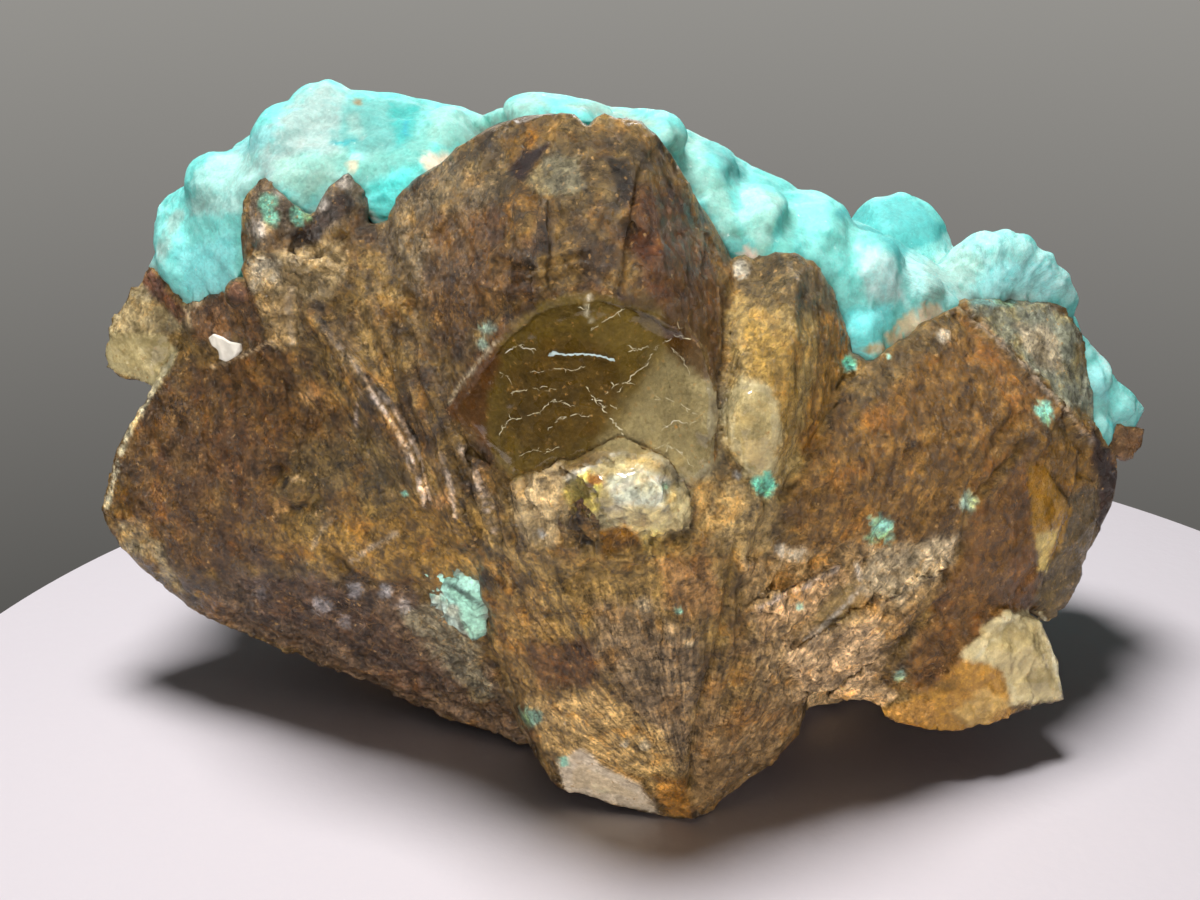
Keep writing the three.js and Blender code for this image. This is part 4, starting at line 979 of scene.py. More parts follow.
def painted_material(
    name, *, mottle, streaks, warm, dark, crystals, facets, cracks, highlights_and_cracks, bump, sheen, surface
):
    """A mineral painted by its mesh's attributes: mottling, fibres, crystals and painted glints.

    mottle: size and contrast; streaks: width and contrast along the grain; warm and dark: the
    stains' tints; crystals and facets: size and tilt; cracks: spacing and strength;
    highlights_and_cracks: the share of crystals that glint, and the colour of those painted
    highlights and of the pale edges of broken facets; bump: height; sheen: the share of the
    painted roughness that is used.
    """
    material, tree = new_material(name)
    node = partial(add_node, tree)
    place = node("ShaderNodeTexCoord").outputs["Object"]
    paint = node("ShaderNodeAttribute", {"attribute_name": "paint"}).outputs["Color"]
    grain = node("ShaderNodeAttribute", {"attribute_name": "grain"}).outputs["Vector"]
    rough, clear, fibre, broken, calm = (
        node("ShaderNodeAttribute", {"attribute_name": key}).outputs["Fac"]
        for key in ("rough", "clear", "fibre", "broken", "calm")
    )
    lively = node(MATHS, MINUS, _0=1.0, _1=calm)

    # The patterns: mottling, streaks along the grain, broad stains, crystals, and bent facets.
    mottled = node(
        "ShaderNodeTexNoise", Vector=place, Scale=1 / mottle[0], Detail=8.0, Roughness=0.76
    )
    streaked = node(
        "ShaderNodeTexNoise", Vector=grain, Scale=1 / streaks[0], Detail=5.0, Roughness=0.65
    )
    stained = node(
        "ShaderNodeTexNoise", Vector=place, Scale=1 / (3.2 * mottle[0]), Detail=6.0,
        Roughness=0.62, Distortion=0.5,
    )
    crystal = node("ShaderNodeTexVoronoi", Vector=place, Scale=1 / crystals[0]).outputs["Color"]
    bend = node("ShaderNodeTexNoise", Vector=place, Scale=0.5 / facets[0], Detail=2.0)
    bend = node(VECTORS, SCALED, _0=bend.outputs["Color"], Scale=0.5 * facets[0])
    bent = node(VECTORS, PLUS, _0=place, _1=bend)
    facet = node("ShaderNodeTexVoronoi", Vector=bent, Scale=1 / facets[0]).outputs["Color"]
    crystal_parts = node("ShaderNodeSeparateColor", Color=crystal)
    facet_parts = node("ShaderNodeSeparateColor", Color=facet)

    # How light each point is, then the stains' tints.
    tone = node(
        RANGE, Value=mottled, From_Min=0.34, From_Max=0.66,
        To_Min=1 - 0.75 * mottle[1], To_Max=1 + 0.95 * mottle[1],
    )
    along = node(
        RANGE, Value=streaked, From_Min=0.32, From_Max=0.68,
        To_Min=1 - streaks[1], To_Max=1 + streaks[1],
    )
    along = node(MIX, NUMBERS, _0=fibre, _2=1.0, _3=along)
    grainy = node(
        RANGE, Value=crystal_parts, To_Min=1 - 0.45 * mottle[1], To_Max=1 + 0.5 * mottle[1]
    )
    faceted = node(RANGE, Value=facet_parts, To_Min=0.62, To_Max=1.38)
    faceted = node(MIX, NUMBERS, _0=broken, _2=1.0, _3=faceted)
    tone = node(MATHS, TIMES, _0=tone, _1=along)
    tone = node(MATHS, TIMES, _0=tone, _1=node(MATHS, TIMES, _0=grainy, _1=faceted))
    tone = node(MIX, NUMBERS, _0=lively, _2=1.0, _3=tone)
    tinted = node(VECTORS, SCALED, _0=paint, Scale=tone).outputs[0]
    for tint, low, high in ((warm, 0.52, 0.66), (dark, 0.47, 0.34)):
        share = node(RANGE, Value=stained, From_Min=low, From_Max=high, To_Max=0.8)
        share = node(MATHS, TIMES, _0=share, _1=lively)
        stain = node(VECTORS, TIMES, _0=tinted, _1=tint)
        tinted = node(MIX, COLOURS, _0=share, _6=tinted, _7=stain).outputs[2]

    # Painted highlights: glints on the crystals and along the fibres are mixed into the colour,
    # and the edges of broken facets are painted pale, all in one colour.
    glint = node(RANGE, Value=crystal_parts.outputs[1], From_Min=1 - highlights_and_cracks[0], To_Max=0.9)
    glow = node(RANGE, Value=mottled, From_Min=0.48, From_Max=0.6)
    glint = node(MATHS, TIMES, _0=glint, _1=glow)
    edge = node(
        "ShaderNodeTexVoronoi", {"feature": "DISTANCE_TO_EDGE"}, Vector=bent, Scale=1 / cracks[0]
    )
    edge = node(RANGE, Value=edge, From_Max=0.03, To_Min=cracks[1], To_Max=0.0)
    split = node(RANGE, Value=broken, From_Min=0.25, From_Max=0.8)
    glint = node(MATHS, LARGER, _0=glint, _1=node(MATHS, TIMES, _0=edge, _1=split))
    fibre_glint = node(RANGE, Value=streaked, From_Min=0.6, From_Max=0.72, To_Max=0.9)
    fibrous = node(RANGE, Value=fibre, From_Min=0.6, To_Max=0.6)
    glint = node(MATHS, LARGER, _0=glint, _1=node(MATHS, TIMES, _0=fibre_glint, _1=fibrous))
    lit = node(MIX, COLOURS, _0=glint, _6=tinted, _7=(*linear(highlights_and_cracks[1]), 1)).outputs[2]

    # Crystals and facets tilt the surface, less where it is clear.
    half = (0.5, 0.5, 0.5)
    turn = node(VECTORS, MINUS, _0=crystal, _1=half)
    turn = node(VECTORS, SCALED, _0=turn, Scale=crystals[1])
    tilt = node(VECTORS, MINUS, _0=facet, _1=half)
    tilt = node(VECTORS, SCALED, _0=tilt, Scale=facets[1])
    tilt = node(
        VECTORS, SCALED, _0=tilt, Scale=node(RANGE, Value=broken, To_Min=0.35, To_Max=1.6)
    )
    turn = node(VECTORS, PLUS, _0=turn, _1=tilt)
    opaque = node(MATHS, MINUS, _0=1.0, _1=node(MATHS, TIMES, _0=clear, _1=1.3))
    turn = node(VECTORS, SCALED, _0=turn, Scale=opaque)
    normal = node("ShaderNodeNewGeometry").outputs["Normal"]
    turned = node(VECTORS, PLUS, _0=normal, _1=turn)
    turned = node(VECTORS, {"operation": "NORMALIZE"}, _0=turned)
    height = node(MATHS, PLUS, _0=mottled, _1=node(MATHS, TIMES, _0=streaked, _1=fibre))
    bumped = node(
        "ShaderNodeBump", Strength=node(MATHS, LARGER, _0=opaque, _1=0.25), Distance=bump,
        Height=height, Normal=turned,
    )
    shine = node(RANGE, Value=facet_parts.outputs[1], To_Min=-0.1, To_Max=0.12)
    gloss = node(MATHS, PLUS, _0=node(MATHS, TIMES, _0=rough, _1=sheen), _1=shine)
    gloss = node(MATHS, MINUS, _0=gloss, _1=node(MATHS, TIMES, _0=glint, _1=0.25))
    shader = node(
        "ShaderNodeBsdfPrincipled", Base_Color=lit,
        Roughness=node(MATHS, LARGER, _0=gloss, _1=0.05), Transmission_Weight=clear,
        Normal=bumped, Coat_Normal=bumped, **surface,
    )
    node("ShaderNodeOutputMaterial", Surface=shader)
    return material


class CalciteSettings(bpy.types.PropertyGroup):
    """Sizes and colours of the calcite's skin"""

    grid: length_property("Grid", 0.42 * MM, "Spacing of the sculpted surface")
    waves: length_property("Waves", 0.3 * MM, "Height of the faces' broad waves")
    grit: length_property("Grit", 0.1 * MM, "Height of the fine grit")
    striae: length_property(
        "Striae", 0.25 * MM, "Height of the growth lines that fan from the foot"
    )
    brown: colour_property("Brown", "#685129", "Iron-stained calcite")
    dark: colour_property("Dark brown", "#45331d", "Stain in the hollows")
    tan: colour_property("Tan", "#826a3d", "Stain on the ridges")


class CrustSettings(bpy.types.PropertyGroup):
    """Sizes and colours of the crust's skin"""

    grid: length_property("Grid", 0.5 * MM, "Spacing of the sculpted surface")
    gap: length_property(
        "Gap closed", 1.7 * MM, "How near the calcite the crust still grows onto it"
    )
    blue: colour_property("Blue", "#74d0ca", "Botryoidal hemimorphite")
    # Deep blue is painted shade, laid in the creases between the lumps on the back.
    deep: colour_property("Deep blue", "#4fbab8", "Crust between the lumps")
    pale: colour_property("Pale", "#cfeee9", "Broken or worn crust")


class StageSettings(bpy.types.PropertyGroup):
    """The floor and the surround"""

    floor: colour_property("Floor", "#e4dfe6", "Pale matt floor")
    wall: colour_property("Surround", "#8a8884", "Grey surround")
    radius: length_property("Floor radius", 105 * MM, "Radius of the round floor")


# The most triangles of a sculpted piece, and the height in millimetres under which the base
# stays flat.
SKIN_LIMIT = 196000
FLAT_BASE = 0.6


class SPECIMEN_OT_calcite(bpy.types.Operator):
    """Builds the iron-stained calcite cluster"""

    bl_idname = "specimen.calcite"
    bl_label = "Stained calcite"

    def execute(self, context):
        settings = context.scene.specimen_calcite
        piece = merged_copy("calcite_cluster", "stained_calcite_cluster")
        tree = tree_of(piece)
        shape = bmesh.new()
        shape.from_mesh(piece.data)
        for across, down, radius in CRUMBS:
            # A crumb lies at the usual depth of the surface round its pixel.
            pixel = np.array([across, down])
            turns = np.arange(0, 6.2, 0.5)
            ring = [pixel + 14 * np.array([math.cos(k), math.sin(k)]) for k in turns]
            hits = [on_surface(p, tree) for p in ring]
            reach = np.median([np.linalg.norm(hit - EYE) for hit in hits if hit is not None])
            centre = EYE + sight(pixel) * (reach + 0.9 * radius)
            bmesh.ops.create_icosphere(
                shape, subdivisions=3, radius=radius * MM,
                matrix=Matrix.Translation(Vector(centre * MM)),
            )
        shape.to_mesh(piece.data)
        shape.free()
        with_modifier(piece, "REMESH", mode="VOXEL", voxel_size=settings.grid)
        points, normals = points_of(piece)
        seen = seen_share(points, normals, tree_of(piece))
        for share, corners in (*FILLED, (WINDOW_LEVELLED, WINDOW)):
            points = levelled(points, pixels_of(points), seen, corners, share)
        set_points(piece, points)
        points, normals = points_of(piece)
        away = points - FOOT
        reach = np.linalg.norm(away, axis=1, keepdims=True)
        grain = away / reach * (60 + 0.08 * reach)
        pixels = pixels_of(points)
        fibre = np.maximum(0.3, seen * strongest(pixels, FIBROUS))
        lift = settings.waves / MM * layered(points / 6.5, 3)
        growth_lines = 1 - 2 * np.abs(noise(grain / 2.6)) + noise(grain / 1.2)
        lift += fibre * settings.striae / MM * growth_lines
        lift += settings.grit / MM * layered(points / 1.1, 2)
        lift += 0.35 * blocks(points, 5.5)[0]
        # Clear parts and the window are smoother than the rest.
        glassy = [(1, 8, row[6]) for row in CALCITE_AREAS if row[5] >= GLASSY]
        clear = seen * strongest(pixels, [*glassy, (1, 8, WINDOW)])
        lift *= 1 - 0.7 * clear
        for size, height, _, edge, corners in BLOCKY:
            share = seen * strongest(pixels, [(1, edge, corners)])
            at = np.flatnonzero(share)
            high = 0.5 * blocks(points[at], size)[0] + 0.2 * blocks(points[at], size * 0.4)[0]
            lift[at] += share[at] * height * high
        for _, width, height, line in RELIEF:
            distance = line_distance(pixels, line) * (1 + 0.5 * noise(points / 1.6))
            across = np.exp(-((distance / width) ** 2))
            lift += seen * height * across * (1 + 0.4 * noise(points / 3))
        lift[points[:, 2] < FLAT_BASE] = 0
        set_points(piece, points + normals * lift[:, None])
        thin_out(piece, SKIN_LIMIT, 1 - 0.93 * (seen > 0.05))
        brush = Brush(piece, np.tile(settings.brown, (len(piece.data.vertices), 1)), 0.5)
        points = brush.points
        broad, middle = layered(points / 13, 3), layered(points / 3.4, 3)
        brush.blend(ramp(-0.1, 0.8, -middle - 0.5 * broad), settings.dark)
        brush.blend(ramp(0.0, 0.9, middle + 0.6 * broad), settings.tan)
        # Painted shade with the underside's own plum colour: faces that point down, which the front
        # view doesn't see, are painted a darker purple-brown.
        under = ramp(-0.35, -0.8, brush.normals[:, 2])
        brush.lay(0.85 * under * (1 - brush.seen), "#5b4340")
        brush.fibre = np.maximum(0.3, brush.seen * strongest(brush.pixels, FIBROUS))
        brush.areas(CALCITE_AREAS)
        for size, _, contrast, edge, corners in BLOCKY:
            share = brush.seen * strongest(brush.pixels, [(1, edge, corners)])
            at = np.flatnonzero(share)
            value = blocks(points[at], size)[1] + 0.6 * blocks(points[at], size * 0.4)[1] - 0.8
            brush.colour[at] *= (1 + share[at] * contrast * value)[:, None]
            brush.broken = np.maximum(brush.broken, share * min(1.0, 1.3 * contrast))
        window = brush.seen * strongest(brush.pixels, [(1, 8, WINDOW)])
        brush.calm = np.clip(np.maximum(1.8 * brush.clear, 0.7 * window), 0, 0.8)
        brush.lines(CALCITE_LINES)
        brush.spots(CALCITE_SPOTS)
        uneven = (0.32 * middle + 0.36 * layered(points / 1.5, 2)) * (1 - 0.7 * brush.calm)
        brush.colour *= np.clip(1 + uneven, 0.3, 2)[:, None]
        brush.store(FOOT)
        piece.data.shade_smooth()
        # Calcite, cleaved and etched, with a skin of iron oxide: satin to glassy, with many
        # small faces that glint. Its refractive indices are 1.49 and 1.66. The etched faces are
        # about 0.1 mm across and are drawn at 0.3 mm, so that they show.
        piece.data.materials.append(
            painted_material(
                "iron_stained_calcite", mottle=(1.3 * MM, 0.9), streaks=(1.3 * MM, 0.8),
                warm=(1.35, 1.02, 0.5), dark=(0.52, 0.48, 0.38), crystals=(0.3 * MM, 0.65),
                facets=(1.5 * MM, 0.6), cracks=(2.4 * MM, 0.22), highlights_and_cracks=(0.1, "#cfa468"),
                bump=0.6 * MM, sheen=0.55,
                surface={"IOR": 1.5, "Coat_Weight": 0.2, "Coat_Roughness": 0.1},
            )
        )
        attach(piece, "root")
        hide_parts("calcite_cluster")
        return {"FINISHED"}


def grow_onto(points, normals, tree, reach, sink):
    """Moves points that lie near another piece's surface a little way into it."""
    moved = points.copy()
    closeness = np.zeros(len(points))
    for i, point in enumerate(points):
        hit, normal, _, distance = tree.find_nearest(Vector(point * MM), reach * MM)
        if hit is None:
            continue
        out = np.array(normal)
        near = np.array(hit) / MM
        closeness[i] = 1 - distance / MM / reach
        if (point - near) @ out > 0:
            share = min(1.0, closeness[i] * 2.5)
            moved[i] = point + share * (near - sink * out - point)
    return moved, closeness


def lump_cells(points):
    """The cells of the crust's lumps, about 5 mm across and bent a little."""
    return cells(points / 5.2 + 0.25 * layered(points / 7, 2)[:, None])


def fluting(points):
    """The height, about -1 to 1, of the fibres that radiate through the fan."""
    away = points - FAN_ROOT
    return noise(away / np.linalg.norm(away, axis=1, keepdims=True) * 19 + 0.02 * away)


class SPECIMEN_OT_crust(bpy.types.Operator):
    """Builds the botryoidal hemimorphite crust"""

    bl_idname = "specimen.crust"
    bl_label = "Hemimorphite crust"

    def execute(self, context):
        settings = context.scene.specimen_crust
        piece = merged_copy("hemimorphite_crust", "hemimorphite_crust_skin")
        shape = bmesh.new()
        shape.from_mesh(piece.data)
        for x, y, z, radius in DOMES:
            centre = (np.array([x, y, z]) + LUMP_ORIGIN) * MM
            size = Matrix.Diagonal((radius * MM, radius * DOME_FLATNESS * MM, radius * MM, 1))
            bmesh.ops.create_icosphere(
                shape, subdivisions=4, radius=1, matrix=Matrix.Translation(centre) @ size
            )
        shape.to_mesh(piece.data)
        shape.free()
        with_modifier(piece, "REMESH", mode="VOXEL", voxel_size=settings.grid)
        points, normals = points_of(piece)
        behind = ramp(-6, 10, points[:, 1] + 6 * normals[:, 1])
        group_of(piece, "soft", 0.95 - 0.5 * behind)
        with_modifier(piece, "SMOOTH", iterations=50, factor=0.6, vertex_group="soft")
        piece.vertex_groups.clear()
        points, normals = points_of(piece)
        seen = seen_share(points, normals, tree_of(piece))
        pixels = pixels_of(points)
        near = lump_cells(points)[0]
        small_near = cells(points / 1.9)[0]
        lumps = 0.55 * (1 - (near / 0.75) ** 2) + 0.13 * (1 - (small_near / 0.75) ** 2)
        broken = layered(points / 2.8, 4) * 0.36 + 0.14 * noise(points / 0.9)
        fan = ramp(-6, 8, depth_inside(pixels, outline_of(CRUST_AREAS, "fan"))) * seen
        ribs = 0.45 * fluting(points)
        front = seen * (1 - fan)
        lift = (1 - seen) * lumps + front * broken + fan * ribs
        dome = ramp(-4, 8, depth_inside(pixels, outline_of(CRUST_AREAS, "far dome"))) * seen
        lift *= 1 - 0.8 * dome
        moved = points + normals * lift[:, None]
        calcite = tree_of(bpy.data.objects["stained_calcite_cluster"])
        set_points(piece, grow_onto(moved, normals, calcite, settings.gap / MM, 0.3)[0])
        with_modifier(piece, "SMOOTH", iterations=1, factor=0.5)
        thin_out(piece, SKIN_LIMIT, 1 - 0.8 * (seen > 0.05))
        brush = Brush(piece, np.tile(settings.blue, (len(piece.data.vertices), 1)), 0.6)
        points = brush.points
        near, next_near = lump_cells(points)[:2]
        broad, middle = layered(points / 15, 3), layered(points / 4, 3)
        # Painted shade: the creases between the lumps on the back are darkened to the deep blue.
        crease_shade = ramp(0.35, 0.02, next_near - near) * (1 - brush.seen)
        brush.blend(0.7 * crease_shade, settings.deep)
        wear = ramp(0.15, 0.9, broad + 0.5 * middle) * (0.35 + 0.4 * brush.seen)
        brush.blend(wear, settings.pale)
        fan = brush.seen * strongest(brush.pixels, [(1, 10, outline_of(CRUST_AREAS, "fan"))])
        brush.fibre = np.maximum(0.25, fan)
        brush.areas(CRUST_AREAS)
        # Painted shade and light on the fan: the same fluting as its relief makes the grooves
        # darker and the fibres' ridges paler.
        brush.colour *= (1 + 0.16 * fan * fluting(points))[:, None]
        brush.lines(CRUST_LINES)
        brush.spots(CRUST_SPOTS)
        closeness = grow_onto(points, brush.normals, calcite, 1.2, 0)[1]
        brush.lay(0.22 * closeness * ramp(-0.2, 0.5, brush.ragged), "#b5a588")
        fine = layered(points / 1.4, 2)
        brush.colour *= (1 + 0.05 * middle + 0.05 * fine)[:, None]
        brush.store(FAN_ROOT)
        piece.data.shade_smooth()
        # Hemimorphite in round fibrous masses, coloured by copper: a silky to waxy skin, and
        # sugary where it is broken. Its refractive index is about 1.62, and is taken lower
        # because the fibres' ends scatter the shine. The sugary grains are drawn at 0.3 mm.
        piece.data.materials.append(
            painted_material(
                "copper_bearing_hemimorphite", mottle=(0.9 * MM, 0.16), streaks=(0.8 * MM, 0.16),
                warm=(1.12, 1.03, 1.02), dark=(0.8, 0.97, 0.98), crystals=(0.3 * MM, 0.2),
                facets=(1.6 * MM, 0.1), cracks=(2.2 * MM, 0.0), highlights_and_cracks=(0.008, "#dff5f0"),
                bump=0.12 * MM, sheen=0.9,
                surface={
                    "IOR": 1.45, "Subsurface_Weight": 0.7,
                    "Subsurface_Radius": (0.5, 1.0, 1.0), "Subsurface_Scale": 3.5 * MM,
                },
            )
        )
        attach(piece, "root")
        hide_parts("hemimorphite_crust")
        return {"FINISHED"}


class SPECIMEN_OT_patch(bpy.types.Operator):
    """Builds the weathered patch of crust in the lower notch"""

    bl_idname = "specimen.patch"
    bl_label = "Weathered patch"

    def execute(self, context):
        piece = merged_copy("hemimorphite_patch", "weathered_hemimorphite")
        with_modifier(piece, "REMESH", mode="VOXEL", voxel_size=0.2 * MM)
        points, normals = points_of(piece)
        calcite = tree_of(bpy.data.objects["stained_calcite_cluster"])
        lift = 0.4 * layered(points / 1.5, 4)
        moved = points + normals * lift[:, None]
        set_points(piece, grow_onto(moved, normals, calcite, 1.3, 0.3)[0])
        brush = Brush(piece, np.tile(linear("#8f988a"), (len(points), 1)), 0.85)
        brush.areas(PATCH_AREAS)
        brush.lines(PATCH_LINES)
        brush.spots(PATCH_SPOTS)
        brush.colour *= (1 + 0.25 * layered(brush.points / 0.8, 3))[:, None]
        brush.store(FOOT)
        piece.data.shade_smooth()
        # Crumbled hemimorphite mixed with clay and manganese: matt and granular.
        piece.data.materials.append(
            painted_material(
                "weathered_hemimorphite_crumb", mottle=(0.9 * MM, 0.35), streaks=(0.7 * MM, 0.2),
                warm=(1.1, 1.02, 0.95), dark=(0.6, 0.62, 0.6), crystals=(0.3 * MM, 0.35),
                facets=(1.0 * MM, 0.3), cracks=(1.6 * MM, 0.0), highlights_and_cracks=(0.02, "#cfdcd0"),
                bump=0.25 * MM, sheen=1.0, surface={"IOR": 1.5},
            )
        )
        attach(piece, "root")
        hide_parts("hemimorphite_patch")
        return {"FINISHED"}


def strand(shape, centres, radii, sides):
    """A closed thin tube through the centres, each ring facing along the line."""
    rings = []
    for i, (centre, radius) in enumerate(zip(centres, radii)):
        ahead = centres[min(i + 1, len(centres) - 1)] - centres[max(i - 1, 0)]
        turn = Vector(ahead).to_track_quat("Z", "Y").to_matrix().to_4x4()
        made = bmesh.ops.create_circle(
            shape, segments=sides, radius=radius * MM,
            matrix=Matrix.Translation(Vector(centre * MM)) @ turn,
        )
        rings.append(made["verts"])
    edges = [
        [e for e in {e for v in ring for e in v.link_edges} if all(v in ring for v in e.verts)]
        for ring in rings
    ]
    for first, second in zip(edges[:-1], edges[1:]):
        bmesh.ops.bridge_loops(shape, edges=first + second)
    for end in (edges[0], edges[-1]):
        bmesh.ops.holes_fill(shape, edges=end)


def spread(line, spacing):
    """Points along a line of pixels, no further apart than the spacing."""
    line = np.array(line, float)
    out = [line[0]]
    for start, end in zip(line[:-1], line[1:]):
        steps = max(1, int(np.ceil(np.linalg.norm(end - start) / spacing)))
        out += [start + (end - start) * (k + 1) / steps for k in range(steps)]
    return out


def finished_piece(name, shape, material):
    """A smooth-shaded piece of the specimen made from a bmesh."""
    bmesh.ops.recalc_face_normals(shape, faces=shape.faces)
    mesh = bpy.data.meshes.new(name)
    shape.to_mesh(mesh)
    shape.free()
    mesh.shade_smooth()
    mesh.materials.append(material)
    piece = new_object(name, mesh)
    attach(piece, "root")
    return piece


# The height of the small pieces' and the clear parts' unevenness.
FINE_BUMP = 0.05 * MM


def plain_material(name, code, other, size, **surface):
    """A small piece's material: two colours mixed by noise of that size."""
    material, tree = new_material(name)
    place = add_node(tree, "ShaderNodeTexCoord").outputs["Object"]
    grain = add_node(tree, "ShaderNodeTexNoise", Vector=place, Scale=1 / size, Detail=3.0)
    mixed = add_node(
        tree, MIX, COLOURS, _0=grain, _6=(*linear(code), 1), _7=(*linear(other), 1)
    ).outputs[2]
    bump = add_node(tree, "ShaderNodeBump", Distance=FINE_BUMP, Height=grain)
    shader = add_node(tree, "ShaderNodeBsdfPrincipled", Base_Color=mixed, Normal=bump, **surface)
    add_node(tree, "ShaderNodeOutputMaterial", Surface=shader)
    return material


def clear_shell(tree, name, outline, thickness, material):
    """A closed sheet of clear calcite whose back and edges are sunk into the cluster."""
    corners = np.array(outline, float)
    low, high = corners.min(0) - 3, corners.max(0) + 3
    counts = np.ceil((high - low) / 3).astype(int)
    shape = bmesh.new()
    tag = shape.verts.layers.int.new("place")
    bmesh.ops.create_grid(shape, x_segments=counts[0], y_segments=counts[1], size=1)
    unit = np.array([v.co[:2] for v in shape.verts])
    pixels = low + (unit + 1) / 2 * (high - low)
    rays = np.array([sight(pixel) for pixel in pixels])
    hits = [tree.ray_cast(Vector(EYE * MM), Vector(ray))[3] for ray in rays]
    reach = np.array([hit or np.nan for hit in hits]) / MM
    order = np.lexsort((unit[:, 0], unit[:, 1]))
    grid = reach[order].reshape(counts[1] + 1, counts[0] + 1)
    smooth = np.where(np.isnan(grid), np.nanmean(grid), grid)
    down, across = smooth.shape
    for _ in range(14):
        padded = np.pad(smooth, 1, mode="edge")
        nine = (padded[i : i + down, j : j + across] for i in range(3) for j in range(3))
        smooth = sum(nine) / 9
    level = np.empty(len(pixels))
    level[order] = smooth.ravel()
    depth = depth_inside(pixels, outline)
    places = EYE + rays * level[:, None]
    front = np.minimum(reach - 0.4 * thickness, level - thickness)
    front += 0.16 * blocks(places, 6)[0] + 0.05 * layered(places / 2.5, 2)
    share = ramp(0, 18, depth + 3 * layered(places / 2, 2))
    near = (reach + 0.3) * (1 - share) + front * share
    far = (EYE + rays * (reach + 1.2)[:, None]) * MM
    for i, v in enumerate(shape.verts):
        v.co = Vector((EYE + rays[i] * near[i]) * MM)
        v[tag] = i
    drop = [v for v, d, r in zip(shape.verts, depth, reach) if d < -2 or np.isnan(r)]
    bmesh.ops.delete(shape, geom=drop, context="VERTS")
    made = bmesh.ops.extrude_face_region(shape, geom=shape.faces[:])
    for v in made["geom"]:
        if isinstance(v, bmesh.types.BMVert):
            v.co = Vector(far[v[tag]])
    shape.verts.layers.int.remove(tag)
    piece = finished_piece(name, shape, material)
    piece.visible_shadow = False
    return piece


def clear_material(name, tint, depth_tint, density, rough):
    """Clear calcite: refracting, faintly wavy, and tinted more where it is thicker."""
    material, tree = new_material(name)
    place = add_node(tree, "ShaderNodeTexCoord").outputs["Object"]
    wave = add_node(tree, "ShaderNodeTexNoise", Vector=place, Scale=1 / (1.2 * MM), Detail=4.0)
    bump = add_node(tree, "ShaderNodeBump", Distance=FINE_BUMP, Height=wave)
    shader = add_node(
        tree, "ShaderNodeBsdfPrincipled", Base_Color=(*linear(tint), 1), Roughness=rough, IOR=1.6,
        Transmission_Weight=0.98, Normal=bump,
    )
    inside = add_node(
        tree, "ShaderNodeVolumeAbsorption", Color=(*linear(depth_tint), 1), Density=density
    )
    add_node(tree, "ShaderNodeOutputMaterial", Surface=shader, Volume=inside)
    return material


class SPECIMEN_OT_window(bpy.types.Operator):
    """Builds the clear calcite of the window and the white fractures in it"""

    bl_idname = "specimen.window"
    bl_label = "Clear window"

    def execute(self, context):
        tree = tree_of(bpy.data.objects["stained_calcite_cluster"])
        wobble = np.random.RandomState(SEED)
        # Clear honey calcite: its refractive index is 1.49 to 1.66.
        clear = clear_material("clear_calcite", "#efe6c4", "#b8983e", 200.0, 0.08)
        pane = tree_of(clear_shell(tree, "clear_calcite_window", WINDOW, PANE_THICKNESS, clear))
        pale = clear_material("clear_pale_calcite", "#f6f2e6", "#c8b890", 60.0, 0.1)
        for name, thickness, outline in CLEAR_PARTS:
            clear_shell(tree, name, outline, thickness, pale)
        shape = bmesh.new()
        for width, line in FRACTURES:
            # Each fracture has a short side branch for every six of its points.
            runs = [spread(line, FRACTURE_STEP)]
            for _ in range(max(1, len(runs[0]) // 6)):
                start = runs[0][wobble.randint(len(runs[0]))]
                angle, length = wobble.uniform(0, 2 * math.pi), wobble.uniform(4, 11)
                branch = length * np.array([math.cos(angle), 0.6 * math.sin(angle)])
                runs.append(spread([start, start + branch], FRACTURE_STEP))
            for run in runs:
                sink = wobble.uniform(0.02, 0.45)
                centres, radii = [], []
                for pixel in run:
                    if len(centres) > 2 and wobble.uniform() < FRACTURE_GAPS:
                        radii[0] = radii[-1] = FRACTURE_TIP
                        strand(shape, centres, radii, 5)
                        centres, radii = [], []
                        continue
                    pixel = pixel + wobble.uniform(-1.1, 1.1, 2)
                    within = depth_inside(pixel[None], WINDOW)[0] > 4
                    point = on_surface(pixel, pane) if within else None
                    point = on_surface(pixel, tree) if point is None else point
                    centres.append(point + sight(pixel) * sink)
                    radii.append(width / 14 * wobble.uniform(0.2, 1.6))
                if len(centres) > 1:
                    radii[0] = radii[-1] = FRACTURE_TIP
                    strand(shape, centres, radii, 5)
        # Air and clay in a healed crack: white and matt.
        material = plain_material("healed_fracture", "#f4f3ea", "#c9c1a4", 0.5 * MM, Roughness=0.5)
        finished_piece("window_fractures", shape, material)
        return {"FINISHED"}


